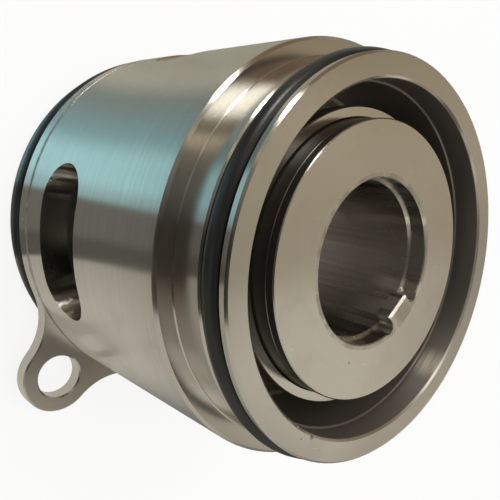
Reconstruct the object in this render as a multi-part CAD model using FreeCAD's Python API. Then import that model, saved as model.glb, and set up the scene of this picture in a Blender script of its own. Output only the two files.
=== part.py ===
"""Cartridge mechanical seal for a 35 mm shaft, in millimetres.

The seal stands on its rear spigot with its axis on Z and its front face up.
The origin is on the axis, in the rear face of the plate that carries the ear.
A slotted barrel holds two pairs of seal rings. A sleeve with a round head runs
through it and turns with the shaft, and two sprung carriers press their rings
down on the two seats that the barrel and the rear cover hold still.
"""
import FreeCAD, Part
import math
import os

V = FreeCAD.Vector
AXIS = V(0, 0, 1)
ORIGIN = V(0, 0, 0)

# Shaft bore and sleeve: every radius is built outwards from the shaft
SHAFT_BORE_R = 17.5
SLEEVE_WALL = 3.0
SLEEVE_END_RECESS = 0.5
BORE_RING_D = 1.8
BORE_GROOVE_WIDTH = 2.4
BORE_GROOVE_RISE = 5.5
EDGE = 0.5
FINE_EDGE = 0.25

# Head of the sleeve, with the key left standing in its mouth
HEAD_WIDTH = 9.9
HEAD_LENGTH = 11.7
HEAD_RECESS = 2.3
HEAD_LINE_DEPTH = 2.0
HEAD_LINE_WIDTH = 0.3
HEAD_LINE_CUT = 0.15
HEAD_RING_D = 2.6
HEAD_RING_RISE = 3.2
HEAD_GROOVE_WIDTH = 3.0
MOUTH_STEP = 0.7
MOUTH_DEPTH = 3.9
KEY_DEG = 84.0
MOUTH_EDGE = 0.45
KEY_REACH = 3.1
KEY_WIDTH = 7.1
KEY_EDGE = 0.5
RELIEF_R = 1.7
RELIEF_INSET = 1.4
RELIEF_SPREAD = 5.25
RELIEF_DEPTH = 4.2

# Barrel, pilot and front rim
BARREL_WALL = 7.0
SHOULDER_WIDTH = 4.1
PILOT_LENGTH = 15.7
RIM_LENGTH = 2.0
RIM_WIDTH = 5.3
OPENING_DEPTH = 6.2
OPENING_STEP = 0.4
SHOULDER_EDGE = 0.65
LAND_EDGE = 0.4
SEAM_EDGE = 0.35

# Windows milled through the barrel
WINDOW_COUNT = 4
WINDOW_WIDTH = 18.0
WINDOW_ARC_DEG = 46.2
WINDOW_RISE = 10.6
WINDOW_FIRST_DEG = 45.0
MILL_OVERRUN = 2.0

# Round section seals on the outside of the barrel and of the spigot
OUTER_RING_D = 4.4
OUTER_GROOVE_WIDTH = 5.5
OUTER_GROOVE_DEPTH = 3.5

# Rear cover: plate, ear, spigot and the register inside the flange ring
PLATE_THICKNESS = 5.0
SPIGOT_STEP = 1.2
SPIGOT_LENGTH = 9.5
SPIGOT_LAND = 1.5
EAR_OUT = 8.9
EAR_END_R = 9.8
EAR_HOLE_R = 5.8
EAR_NECK_R = 16.0
EAR_EDGE = 0.4
COVER_RECESS_WIDTH = 7.0
COVER_RECESS_DEPTH = 5.5
COVER_BORE_GAP = 0.9
REGISTER_WALL = 3.0
REGISTER_LENGTH = 4.0
REGISTER_RING_D = 1.9
REGISTER_GROOVE_WIDTH = 2.4
REGISTER_GROOVE_Z = 1.6

# Flange ring, shrunk into the barrel's rear end, and the screws of the cover
FLANGE_WIDTH = 7.5
FLANGE_LENGTH = 7.0
SCREW_COUNT = 4
SCREW_R = 2.0
SCREW_HEAD_R = 3.5
SCREW_HEAD_LENGTH = 4.0
SCREW_LENGTH = 16.0
SCREW_SOCKET_FLATS = 3.0
SCREW_SOCKET_DEPTH = 2.0
SCREW_SINK = 4.4

# Partition between the product side and the oil chamber, shrunk into the barrel
PARTITION_BORE_GAP = 1.3
PARTITION_FLOOR = 3.5
POCKET_DEPTH = 5.5
POCKET_GAP = 0.3

# Seats, the still seal rings
SEAT_BORE_GAP = 1.8
SEAT_LAND_WIDTH = 4.3
SEAT_STEP = 3.1
SEAT_LENGTH = 7.5
SEAT_LAND_LENGTH = 3.8
SEAT_PIN_R = 1.25
SEAT_PIN_INSET = 2.1
SEAT_PIN_HOLD = 2.6
SEAT_PIN_REACH = 2.0

# Face rings, the turning seal rings
NOSE_INSET = 1.7
NOSE_WIDTH = 4.0
NOSE_LENGTH = 2.0
FACE_RING_BORE_STEP = 0.6
FACE_RING_STEP = 2.2
FACE_RING_LENGTH = 6.0
FACE_RING_SEATING = 3.5

# Front carrier, its wave spring and its driving pins
CARRIER_WALL = 2.4
CARRIER_DROP = 6.1
CARRIER_WEB = 3.5
CARRIER_WEB_GAP = 0.7
WAVE_GAP = 5.5
WAVE_WIDTH = 3.8
WAVE_THICKNESS = 0.5
WAVE_HEIGHT = 2.5
WAVE_COUNT = 4
POINTS_PER_WAVE = 6
PIN_R = 1.3
PIN_SLACK = 0.4
FRONT_PIN_COUNT = 2
FRONT_PIN_GAP = 3.1
FRONT_PIN_HOLD = 6.0
FRONT_PIN_REACH = 4.1
FRONT_PIN_FIRST_DEG = 20.0

# Rear carrier, its coil spring, the drive collar and its screws
REAR_CARRIER_WALL = 1.3
REAR_CARRIER_WEB = 7.5
REAR_RING_D = 2.0
REAR_RING_RISE = 4.5
REAR_GROOVE_WIDTH = 2.6
COLLAR_WIDTH = 10.3
COLLAR_LENGTH = 6.8
COLLAR_GAP = 0.6
COIL_GAP = 4.1
COIL_HEIGHT = 11.1
COIL_WIRE_R = 0.9
COIL_TURNS = 3
COIL_WIRE_SIDES = 10
SECTIONS_PER_TURN = 24
REAR_PIN_COUNT = 2
REAR_PIN_FIRST_DEG = 90.0
REAR_PIN_INSET = 2.4
REAR_PIN_HOLD = 6.0
REAR_PIN_TIP = 3.0
REAR_PIN_HOLE_DEPTH = 5.5
SET_SCREW_COUNT = 3
SET_SCREW_R = 2.5
SET_SCREW_LENGTH = 8.0
SET_SCREW_FLATS = 2.5
SET_SCREW_SOCKET = 2.5
SET_SCREW_FIRST_DEG = 60.0

# Retaining ring at the sleeve's rear end
CLIP_THICKNESS = 1.2
CLIP_BITE = 1.0
CLIP_WIDTH = 3.1
CLIP_GAP_DEG = 15.0
CLIP_LUG_R = 2.2
CLIP_LUG_INSET = 0.4
CLIP_LUG_DEG = 20.0
CLIP_HOLE_R = 0.8
CLIP_CLEAR = 0.3

# Clearances
FIT = 0.05
RUN = 0.1
RING_CLEAR = 0.15

# Radii that follow, from the shaft outwards
SLEEVE_R = SHAFT_BORE_R + SLEEVE_WALL
HEAD_R = SLEEVE_R + HEAD_WIDTH
MOUTH_R = SHAFT_BORE_R + MOUTH_STEP
KEY_FLAT_R = SHAFT_BORE_R - KEY_REACH
RELIEF_PLACE_R = SHAFT_BORE_R - RELIEF_INSET
CLIP_IN_R = SLEEVE_R - CLIP_BITE
CLIP_OUT_R = CLIP_IN_R + CLIP_WIDTH
CLIP_LUG_PLACE_R = CLIP_OUT_R - CLIP_LUG_INSET
SEAT_IN_R = SLEEVE_R + SEAT_BORE_GAP
SEAT_LAND_R = SEAT_IN_R + SEAT_LAND_WIDTH
SEAT_R = SEAT_LAND_R + SEAT_STEP
SEAT_PIN_PLACE_R = SEAT_IN_R + SEAT_PIN_INSET
POCKET_R = SEAT_R + POCKET_GAP
NOSE_IN_R = SEAT_IN_R + NOSE_INSET
NOSE_R = NOSE_IN_R + NOSE_WIDTH
FACE_RING_IN_R = NOSE_IN_R - FACE_RING_BORE_STEP
FACE_RING_R = NOSE_R + FACE_RING_STEP
CARRIER_R = HEAD_R + RUN + CARRIER_WALL
CARRIER_WEB_IN_R = SLEEVE_R + CARRIER_WEB_GAP
WAVE_IN_R = SLEEVE_R + WAVE_GAP
WAVE_OUT_R = WAVE_IN_R + WAVE_WIDTH
FRONT_PIN_PLACE_R = SLEEVE_R + FRONT_PIN_GAP
REAR_CARRIER_R = FACE_RING_R + REAR_CARRIER_WALL
COLLAR_R = SLEEVE_R + COLLAR_WIDTH
REAR_PIN_PLACE_R = COLLAR_R - REAR_PIN_INSET
COIL_R = SLEEVE_R + COIL_GAP
PARTITION_IN_R = SLEEVE_R + PARTITION_BORE_GAP
COVER_BORE_R = SLEEVE_R + COVER_BORE_GAP
COVER_RECESS_R = SLEEVE_R + COVER_RECESS_WIDTH
REGISTER_R = POCKET_R + REGISTER_WALL
BARREL_IN_R = REGISTER_R + FLANGE_WIDTH
BARREL_R = BARREL_IN_R + BARREL_WALL
SCREW_PLACE_R = (REGISTER_R + BARREL_IN_R) / 2
SPIGOT_R = BARREL_R - SPIGOT_STEP
PILOT_R = BARREL_R - SHOULDER_WIDTH
OPENING_R = PILOT_R - RIM_WIDTH
CHAMBER_R = OPENING_R - OPENING_STEP
EAR_REACH = BARREL_R + EAR_OUT

# Heights that follow, from the rear end upwards
SLEEVE_END_Z = SLEEVE_END_RECESS - SPIGOT_LENGTH
COVER_RECESS_Z = COVER_RECESS_DEPTH - SPIGOT_LENGTH
CLIP_TOP = COVER_RECESS_Z - CLIP_CLEAR
FLANGE_TOP = PLATE_THICKNESS + FLANGE_LENGTH
WINDOW_Z = FLANGE_TOP + WINDOW_RISE
REGISTER_TOP = PLATE_THICKNESS + REGISTER_LENGTH
REAR_POCKET_Z = REGISTER_TOP - POCKET_DEPTH
REAR_FACE_Z = REAR_POCKET_Z + SEAT_LENGTH
REAR_WEB_Z = REAR_FACE_Z + FACE_RING_LENGTH
REAR_CARRIER_TOP = REAR_WEB_Z + REAR_CARRIER_WEB
BORE_GROOVE_Z = REAR_CARRIER_TOP + BORE_GROOVE_RISE
COLLAR_BOTTOM = REAR_CARRIER_TOP + COIL_HEIGHT
COLLAR_TOP = COLLAR_BOTTOM + COLLAR_LENGTH
PARTITION_BOTTOM_Z = COLLAR_TOP + COLLAR_GAP
FRONT_POCKET_Z = PARTITION_BOTTOM_Z + PARTITION_FLOOR
PARTITION_TOP_Z = FRONT_POCKET_Z + POCKET_DEPTH
FRONT_FACE_Z = FRONT_POCKET_Z + SEAT_LENGTH
FRONT_WEB_Z = FRONT_FACE_Z + FACE_RING_LENGTH
FRONT_WEB_TOP = FRONT_WEB_Z + CARRIER_WEB
HEAD_BOTTOM_Z = FRONT_WEB_TOP + WAVE_HEIGHT
HEAD_RING_Z = HEAD_BOTTOM_Z + HEAD_RING_RISE
HEAD_TOP_Z = HEAD_BOTTOM_Z + HEAD_LENGTH
CARRIER_TOP_Z = HEAD_TOP_Z - CARRIER_DROP
FRONT_Z = HEAD_TOP_Z + HEAD_RECESS
FRONT_GROOVE_TOP = FRONT_Z - RIM_LENGTH
SHOULDER_Z = FRONT_Z - PILOT_LENGTH


def turned(profile):
    """Revolve a closed outline of (radius, height) corners about the axis."""
    corners = [V(r, 0, z) for r, z in profile]
    wire = Part.makePolygon(corners + corners[:1])
    return Part.Face(wire).revolve(ORIGIN, AXIS, 360)


def cylinder(radius, bottom, top, x=0.0, y=0.0):
    return Part.makeCylinder(radius, top - bottom, V(x, y, bottom))


def tube(inner, outer, bottom, top):
    return cylinder(outer, bottom, top).cut(cylinder(inner, bottom, top))


def around(shape, degrees):
    """A copy of the shape, turned about the axis."""
    copy = shape.copy()
    copy.rotate(ORIGIN, AXIS, degrees)
    return copy


def pattern(shape, count, first_deg=0.0):
    """Evenly spaced copies of the shape about the axis."""
    step = 360.0 / count
    return [around(shape, first_deg + step * index) for index in range(count)]


def o_ring(inner, section_d, middle_z):
    """A round section ring that starts at the inner radius."""
    return Part.makeTorus(inner + section_d / 2, section_d / 2, V(0, 0, middle_z))


def hexagon(flats, bottom, top):
    """A six sided prism on the axis, measured across its flats."""
    corner_r = flats / 2 / math.cos(math.radians(30))
    angles = [math.radians(60 * side) for side in range(6)]
    corners = [V(corner_r * math.cos(a), corner_r * math.sin(a), bottom) for a in angles]
    face = Part.Face(Part.makePolygon(corners + corners[:1]))
    return face.extrude(V(0, 0, top - bottom))


def window_cutter():
    """The path of an end mill as wide as the window, fed round the barrel."""
    mill_r = WINDOW_WIDTH / 2
    mill_half_deg = math.degrees(math.asin(mill_r / BARREL_R))
    feed_deg = WINDOW_ARC_DEG - 2 * mill_half_deg
    inside = BARREL_IN_R - MILL_OVERRUN
    outside = BARREL_R + MILL_OVERRUN
    low = WINDOW_Z - mill_r
    high = WINDOW_Z + mill_r
    mill = Part.makeCylinder(mill_r, outside - inside, V(inside, 0, WINDOW_Z), V(1, 0, 0))
    corners = [V(inside, 0, low), V(outside, 0, low), V(outside, 0, high), V(inside, 0, high)]
    band = Part.Face(Part.makePolygon(corners + corners[:1])).revolve(ORIGIN, AXIS, feed_deg)
    fed = around(band, -feed_deg / 2)
    return fed.fuse([around(mill, -feed_deg / 2), around(mill, feed_deg / 2)])


def housing_profile():
    """Half section of the barrel, from the rim's inner corner and round."""
    groove_r = PILOT_R - OUTER_GROOVE_DEPTH
    groove_bottom = FRONT_GROOVE_TOP - OUTER_GROOVE_WIDTH
    return [
        (OPENING_R + EDGE, FRONT_Z),
        (PILOT_R - EDGE, FRONT_Z),
        (PILOT_R, FRONT_Z - EDGE),
        (PILOT_R, FRONT_GROOVE_TOP + FINE_EDGE),
        (PILOT_R - FINE_EDGE, FRONT_GROOVE_TOP),
        (groove_r, FRONT_GROOVE_TOP),
        (groove_r, groove_bottom),
        (PILOT_R - LAND_EDGE, groove_bottom),
        (PILOT_R, groove_bottom - LAND_EDGE),
        (PILOT_R, SHOULDER_Z + FINE_EDGE),
        (PILOT_R + FINE_EDGE, SHOULDER_Z),
        (BARREL_R - SHOULDER_EDGE, SHOULDER_Z),
        (BARREL_R, SHOULDER_Z - SHOULDER_EDGE),
        (BARREL_R, PLATE_THICKNESS + SEAM_EDGE),
        (BARREL_R - SEAM_EDGE, PLATE_THICKNESS),
        (BARREL_IN_R, PLATE_THICKNESS),
        (BARREL_IN_R, PARTITION_TOP_Z),
        (CHAMBER_R, PARTITION_TOP_Z),
        (CHAMBER_R, FRONT_Z - OPENING_DEPTH - FINE_EDGE),
        (CHAMBER_R + FINE_EDGE, FRONT_Z - OPENING_DEPTH),
        (OPENING_R, FRONT_Z - OPENING_DEPTH),
        (OPENING_R, FRONT_Z - EDGE),
    ]


def housing():
    body = turned(housing_profile())
    return body.cut(pattern(window_cutter(), WINDOW_COUNT, WINDOW_FIRST_DEG))


def partition():
    """Ring that parts the oil from the product; its pocket takes the front seat."""
    outer = BARREL_IN_R - FIT
    ring = turned([
        (PARTITION_IN_R, PARTITION_BOTTOM_Z),
        (outer - FINE_EDGE, PARTITION_BOTTOM_Z),
        (outer, PARTITION_BOTTOM_Z + FINE_EDGE),
        (outer, PARTITION_TOP_Z),
        (POCKET_R, PARTITION_TOP_Z),
        (POCKET_R, FRONT_POCKET_Z),
        (PARTITION_IN_R, FRONT_POCKET_Z),
    ])
    return ring.cut(seat_pin_hole(FRONT_POCKET_Z))


def flange_ring():
    """Ring with the tapped holes that the screws of the cover pull on."""
    outer = BARREL_IN_R - FIT
    ring = turned([
        (REGISTER_R, PLATE_THICKNESS),
        (outer, PLATE_THICKNESS),
        (outer, FLANGE_TOP - FINE_EDGE),
        (outer - FINE_EDGE, FLANGE_TOP),
        (REGISTER_R, FLANGE_TOP),
    ])
    tapped = cylinder(SCREW_R + FIT, PLATE_THICKNESS, FLANGE_TOP, SCREW_PLACE_R)
    return ring.cut(pattern(tapped, SCREW_COUNT))


def seat_pin_hole(pocket_z):
    bottom = pocket_z - SEAT_PIN_HOLD - FIT
    return cylinder(SEAT_PIN_R + FIT, bottom, pocket_z, SEAT_PIN_PLACE_R)


def seat_pin(pocket_z):
    """Dowel that keeps a seat from turning."""
    bottom = pocket_z - SEAT_PIN_HOLD
    return cylinder(SEAT_PIN_R, bottom, pocket_z + SEAT_PIN_REACH, SEAT_PIN_PLACE_R)


def seat(pocket_z):
    """Still seal ring with a stepped back for its round section ring."""
    land_top = pocket_z + SEAT_LAND_LENGTH
    top = pocket_z + SEAT_LENGTH
    ring = turned([
        (SEAT_IN_R, pocket_z),
        (SEAT_LAND_R, pocket_z),
        (SEAT_LAND_R, land_top),
        (SEAT_R, land_top),
        (SEAT_R, top - EDGE),
        (SEAT_R - EDGE, top),
        (SEAT_IN_R + EDGE, top),
        (SEAT_IN_R, top - EDGE),
    ])
    notch_top = pocket_z + SEAT_PIN_REACH + RING_CLEAR
    return ring.cut(cylinder(SEAT_PIN_R + RING_CLEAR, pocket_z, notch_top, SEAT_PIN_PLACE_R))


def seat_ring(pocket_z):
    """Round section ring between a seat and the wall of its pocket."""
    section = POCKET_R - SEAT_LAND_R - 2 * FIT
    return o_ring(SEAT_LAND_R + FIT, section, pocket_z + FIT + section / 2)


def face_ring(face_z):
    """Turning seal ring with a narrow nose that runs on the seat."""
    nose_top = face_z + NOSE_LENGTH
    top = face_z + FACE_RING_LENGTH
    return turned([
        (NOSE_IN_R, face_z),
        (NOSE_R, face_z),
        (NOSE_R, nose_top),
        (FACE_RING_R - EDGE, nose_top),
        (FACE_RING_R, nose_top + EDGE),
        (FACE_RING_R, top),
        (FACE_RING_IN_R, top),
        (FACE_RING_IN_R, nose_top),
        (NOSE_IN_R, nose_top),
    ])


def front_carrier():
    """Cup that slides on the sleeve's head and holds the front face ring."""
    bottom = FRONT_WEB_Z - FACE_RING_SEATING
    wall_r = HEAD_R + RUN
    cup = turned([
        (FACE_RING_R, bottom),
        (CARRIER_R - EDGE, bottom),
        (CARRIER_R, bottom + EDGE),
        (CARRIER_R, CARRIER_TOP_Z - FINE_EDGE),
        (CARRIER_R - FINE_EDGE, CARRIER_TOP_Z),
        (wall_r + FINE_EDGE, CARRIER_TOP_Z),
        (wall_r, CARRIER_TOP_Z - FINE_EDGE),
        (wall_r, FRONT_WEB_TOP),
        (CARRIER_WEB_IN_R, FRONT_WEB_TOP),
        (CARRIER_WEB_IN_R, FRONT_WEB_Z),
        (FACE_RING_R, FRONT_WEB_Z),
    ])
    hole = cylinder(PIN_R + PIN_SLACK, FRONT_WEB_Z, FRONT_WEB_TOP, FRONT_PIN_PLACE_R)
    return cup.cut(pattern(hole, FRONT_PIN_COUNT, FRONT_PIN_FIRST_DEG))


def front_drive_pins():
    bottom = HEAD_BOTTOM_Z - FRONT_PIN_REACH
    pin = cylinder(PIN_R, bottom, HEAD_BOTTOM_Z + FRONT_PIN_HOLD, FRONT_PIN_PLACE_R)
    return Part.makeCompound(pattern(pin, FRONT_PIN_COUNT, FRONT_PIN_FIRST_DEG))


def wave_edge(radius, middle_z, rise):
    """Closed wavy edge at one radius."""
    points = []
    steps = WAVE_COUNT * POINTS_PER_WAVE
    for step in range(steps):
        angle = 2 * math.pi * step / steps
        height = middle_z + rise * math.cos(WAVE_COUNT * angle)
        points.append(V(radius * math.cos(angle), radius * math.sin(angle), height))
    curve = Part.BSplineCurve()
    curve.interpolate(Points=points, PeriodicFlag=True)
    return curve.toShape()


def wave_spring():
    """Flat wire bent in waves, between the carrier's web and the head."""
    rise = (WAVE_HEIGHT - WAVE_THICKNESS) / 2 - FIT
    lower = FRONT_WEB_TOP + WAVE_HEIGHT / 2 - WAVE_THICKNESS / 2
    inner = wave_edge(WAVE_IN_R, lower, rise)
    outer = wave_edge(WAVE_OUT_R, lower, rise)
    return Part.makeRuledSurface(inner, outer).extrude(V(0, 0, WAVE_THICKNESS))


def sleeve_profile():
    """Half section of the sleeve and its head, from the rear end and up."""
    clip_groove_top = CLIP_TOP + FIT
    clip_groove_bottom = CLIP_TOP - CLIP_THICKNESS - FIT
    ring_groove_r = HEAD_R - HEAD_RING_D
    ring_top = HEAD_RING_Z + HEAD_GROOVE_WIDTH / 2
    ring_bottom = HEAD_RING_Z - HEAD_GROOVE_WIDTH / 2
    line_top = HEAD_TOP_Z - HEAD_LINE_DEPTH
    line_bottom = line_top - HEAD_LINE_WIDTH
    mouth_z = HEAD_TOP_Z - MOUTH_DEPTH
    bore_groove_r = SHAFT_BORE_R + BORE_RING_D + 2 * FIT
    bore_groove_top = BORE_GROOVE_Z + BORE_GROOVE_WIDTH
    return [
        (SHAFT_BORE_R + EDGE, SLEEVE_END_Z),
        (SLEEVE_R - EDGE, SLEEVE_END_Z),
        (SLEEVE_R, SLEEVE_END_Z + EDGE),
        (SLEEVE_R, clip_groove_bottom),
        (CLIP_IN_R - FIT, clip_groove_bottom),
        (CLIP_IN_R - FIT, clip_groove_top),
        (SLEEVE_R, clip_groove_top),
        (SLEEVE_R, HEAD_BOTTOM_Z),
        (HEAD_R, HEAD_BOTTOM_Z),
        (HEAD_R, ring_bottom),
        (ring_groove_r, ring_bottom),
        (ring_groove_r, ring_top),
        (HEAD_R, ring_top),
        (HEAD_R, line_bottom),
        (HEAD_R - HEAD_LINE_CUT, line_bottom),
        (HEAD_R - HEAD_LINE_CUT, line_top),
        (HEAD_R, line_top),
        (HEAD_R, HEAD_TOP_Z - FINE_EDGE),
        (HEAD_R - FINE_EDGE, HEAD_TOP_Z),
        (MOUTH_R + FINE_EDGE, HEAD_TOP_Z),
        (MOUTH_R, HEAD_TOP_Z - FINE_EDGE),
        (MOUTH_R, mouth_z),
        (SHAFT_BORE_R + MOUTH_EDGE, mouth_z),
        (SHAFT_BORE_R, mouth_z - MOUTH_EDGE),
        (SHAFT_BORE_R, bore_groove_top),
        (bore_groove_r, bore_groove_top),
        (bore_groove_r, BORE_GROOVE_Z),
        (SHAFT_BORE_R, BORE_GROOVE_Z),
        (SHAFT_BORE_R, SLEEVE_END_Z + EDGE),
    ]


def driving_key():
    """Key left standing in the head's mouth, with its flat towards the shaft.

    Its root is as wide as the two reliefs are apart, so that the drilled
    corners run from the key's sides straight into the wall of the mouth.
    """
    bottom = HEAD_TOP_Z - MOUTH_DEPTH
    half = KEY_WIDTH / 2
    depth = MOUTH_R - KEY_FLAT_R + EDGE
    key = Part.makeBox(depth, KEY_WIDTH, MOUTH_DEPTH, V(KEY_FLAT_R, -half, bottom))
    root_depth = MOUTH_R - RELIEF_PLACE_R + EDGE
    root_corner = V(RELIEF_PLACE_R, -RELIEF_SPREAD, bottom)
    root = Part.makeBox(root_depth, 2 * RELIEF_SPREAD, MOUTH_DEPTH, root_corner)
    bevel = Part.Face(Part.makePolygon([
        V(KEY_FLAT_R, -half, HEAD_TOP_Z),
        V(KEY_FLAT_R + KEY_EDGE, -half, HEAD_TOP_Z),
        V(KEY_FLAT_R, -half, HEAD_TOP_Z - KEY_EDGE),
        V(KEY_FLAT_R, -half, HEAD_TOP_Z),
    ])).extrude(V(0, KEY_WIDTH, 0))
    return key.cut(bevel).fuse(root)


def key_reliefs():
    """Two drilled corners, one on each side of the key."""
    bottom = HEAD_TOP_Z - RELIEF_DEPTH
    sides = [-RELIEF_SPREAD, RELIEF_SPREAD]
    return [cylinder(RELIEF_R, bottom, HEAD_TOP_Z, RELIEF_PLACE_R, side) for side in sides]


def shaft_sleeve():
    body = turned(sleeve_profile()).fuse(around(driving_key(), KEY_DEG))
    reliefs = [around(relief, KEY_DEG) for relief in key_reliefs()]
    pin_top = HEAD_BOTTOM_Z + FRONT_PIN_HOLD + FIT
    pin_hole = cylinder(PIN_R + FIT, HEAD_BOTTOM_Z, pin_top, FRONT_PIN_PLACE_R)
    return body.cut(reliefs + pattern(pin_hole, FRONT_PIN_COUNT, FRONT_PIN_FIRST_DEG))


def head_o_ring():
    inner = HEAD_R - HEAD_RING_D + FIT
    return o_ring(inner, HEAD_RING_D - RING_CLEAR, HEAD_RING_Z)


def sleeve_o_ring():
    return o_ring(SHAFT_BORE_R + FIT, BORE_RING_D, BORE_GROOVE_Z + BORE_GROOVE_WIDTH / 2)


def rear_carrier():
    """Carrier that slides on the sleeve and holds the rear face ring."""
    bottom = REAR_WEB_Z - FACE_RING_SEATING
    bore_r = SLEEVE_R + RUN
    groove_r = SLEEVE_R + RING_CLEAR + REAR_RING_D + FIT
    groove_bottom = REAR_WEB_Z + REAR_RING_RISE - REAR_GROOVE_WIDTH / 2
    groove_top = groove_bottom + REAR_GROOVE_WIDTH
    body = turned([
        (FACE_RING_R, bottom),
        (REAR_CARRIER_R - FINE_EDGE, bottom),
        (REAR_CARRIER_R, bottom + FINE_EDGE),
        (REAR_CARRIER_R, REAR_CARRIER_TOP - EDGE),
        (REAR_CARRIER_R - EDGE, REAR_CARRIER_TOP),
        (bore_r, REAR_CARRIER_TOP),
        (bore_r, groove_top),
        (groove_r, groove_top),
        (groove_r, groove_bottom),
        (bore_r, groove_bottom),
        (bore_r, REAR_WEB_Z),
        (FACE_RING_R, REAR_WEB_Z),
    ])
    hole_bottom = REAR_CARRIER_TOP - REAR_PIN_HOLE_DEPTH
    hole = cylinder(PIN_R + PIN_SLACK, hole_bottom, REAR_CARRIER_TOP, REAR_PIN_PLACE_R)
    return body.cut(pattern(hole, REAR_PIN_COUNT, REAR_PIN_FIRST_DEG))


def rear_carrier_o_ring():
    return o_ring(SLEEVE_R + RING_CLEAR, REAR_RING_D, REAR_WEB_Z + REAR_RING_RISE)


def drive_collar():
    """Collar held on the sleeve by three screws; it backs the coil spring."""
    ring = turned([
        (SLEEVE_R + FIT, COLLAR_BOTTOM),
        (COLLAR_R - EDGE, COLLAR_BOTTOM),
        (COLLAR_R, COLLAR_BOTTOM + EDGE),
        (COLLAR_R, COLLAR_TOP - EDGE),
        (COLLAR_R - EDGE, COLLAR_TOP),
        (SLEEVE_R + FIT, COLLAR_TOP),
    ])
    middle = (COLLAR_TOP + COLLAR_BOTTOM) / 2
    drilled = Part.makeCylinder(SET_SCREW_R + FIT, COLLAR_R, V(0, 0, middle), V(1, 0, 0))
    drilled = drilled.cut(cylinder(SLEEVE_R, COLLAR_BOTTOM, COLLAR_TOP))
    pin_top = COLLAR_BOTTOM + REAR_PIN_HOLD + FIT
    pin_hole = cylinder(PIN_R + FIT, COLLAR_BOTTOM, pin_top, REAR_PIN_PLACE_R)
    screw_holes = pattern(drilled, SET_SCREW_COUNT, SET_SCREW_FIRST_DEG)
    return ring.cut(screw_holes + pattern(pin_hole, REAR_PIN_COUNT, REAR_PIN_FIRST_DEG))


def set_screws():
    """Headless screws that lock the collar on the sleeve."""
    middle = (COLLAR_TOP + COLLAR_BOTTOM) / 2
    screw = cylinder(SET_SCREW_R, 0, SET_SCREW_LENGTH)
    socket = hexagon(SET_SCREW_FLATS, SET_SCREW_LENGTH - SET_SCREW_SOCKET, SET_SCREW_LENGTH)
    screw = screw.cut(socket)
    screw.rotate(ORIGIN, V(0, 1, 0), 90)
    screw.translate(V(SLEEVE_R + FIT, 0, middle))
    return Part.makeCompound(pattern(screw, SET_SCREW_COUNT, SET_SCREW_FIRST_DEG))


def rear_drive_pins():
    bottom = REAR_CARRIER_TOP - REAR_PIN_TIP
    pin = cylinder(PIN_R, bottom, COLLAR_BOTTOM + REAR_PIN_HOLD, REAR_PIN_PLACE_R)
    return Part.makeCompound(pattern(pin, REAR_PIN_COUNT, REAR_PIN_FIRST_DEG))


def wire_section(turn, start_z, pitch):
    """Outline of the coil spring's wire, square to its run, after so many turns."""
    angle = 2 * math.pi * turn
    outward = V(math.cos(angle), math.sin(angle), 0)
    run = V(-math.sin(angle), math.cos(angle), pitch / (2 * math.pi * COIL_R)).normalize()
    across = run.cross(outward)
    centre = outward * COIL_R + V(0, 0, start_z + pitch * turn)
    sides = [2 * math.pi * side / COIL_WIRE_SIDES for side in range(COIL_WIRE_SIDES)]
    rim = [centre + (outward * math.cos(a) + across * math.sin(a)) * COIL_WIRE_R for a in sides]
    return Part.makePolygon(rim + rim[:1])


def coil_spring():
    """Drawn wire spring between the rear carrier and the collar."""
    start_z = REAR_CARRIER_TOP + COIL_WIRE_R + FIT
    height = COIL_HEIGHT - 2 * (COIL_WIRE_R + FIT)
    pitch = height / COIL_TURNS
    steps = COIL_TURNS * SECTIONS_PER_TURN
    turns = [step / SECTIONS_PER_TURN for step in range(steps + 1)]
    return Part.makeLoft([wire_section(turn, start_z, pitch) for turn in turns], True, True)


def ear_outline():
    """Ear with a round end, joined to the plate by two hollow curves."""
    reach_sq = EAR_REACH ** 2
    plate_gap = BARREL_R + EAR_NECK_R
    end_gap = EAR_END_R + EAR_NECK_R
    neck_x = (plate_gap ** 2 - end_gap ** 2 + reach_sq) / (2 * EAR_REACH)
    neck_y = math.sqrt(plate_gap ** 2 - neck_x ** 2)
    root = V(neck_x, neck_y, 0) * (BARREL_R / plate_gap)
    end = V(EAR_REACH, 0, 0)
    neck = V(neck_x, neck_y, 0)
    tip = end + (neck - end) * (EAR_END_R / end_gap)
    middle_way = (root + tip) * 0.5 - neck
    hollow = neck + middle_way.normalize() * EAR_NECK_R
    mirror = [V(p.x, -p.y, 0) for p in (tip, hollow, root)]
    inner = V(REGISTER_R + SCREW_R, 0, 0)
    return Part.Wire([
        Part.Arc(root, hollow, tip).toShape(),
        Part.Arc(tip, V(EAR_REACH + EAR_END_R, 0, 0), mirror[0]).toShape(),
        Part.Arc(mirror[0], mirror[1], mirror[2]).toShape(),
        Part.LineSegment(mirror[2], inner).toShape(),
        Part.LineSegment(inner, root).toShape(),
    ])


def ear():
    blank = Part.Face(ear_outline()).extrude(V(0, 0, PLATE_THICKNESS))
    faces_at = (0.0, PLATE_THICKNESS)
    rims = [edge for edge in blank.Edges if edge_in_planes(edge, faces_at)]
    return blank.makeChamfer(EAR_EDGE, rims)


def edge_in_planes(edge, heights):
    """True where a curved edge lies in one of the two flat faces."""
    low = edge.BoundBox.ZMin
    high = edge.BoundBox.ZMax
    curved = isinstance(edge.Curve, Part.Circle)
    flat = high - low < FIT
    return curved and flat and any(abs(low - height) < FIT for height in heights)


def ear_hole():
    """Hole through the ear with both of its edges broken."""
    top = PLATE_THICKNESS
    hole = cylinder(EAR_HOLE_R, 0, top, EAR_REACH)
    wide = EAR_HOLE_R + EAR_EDGE
    lower = Part.makeCone(wide, EAR_HOLE_R, EAR_EDGE, V(EAR_REACH, 0, 0))
    upper = Part.makeCone(EAR_HOLE_R, wide, EAR_EDGE, V(EAR_REACH, 0, top - EAR_EDGE))
    return hole.fuse([lower, upper])


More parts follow.
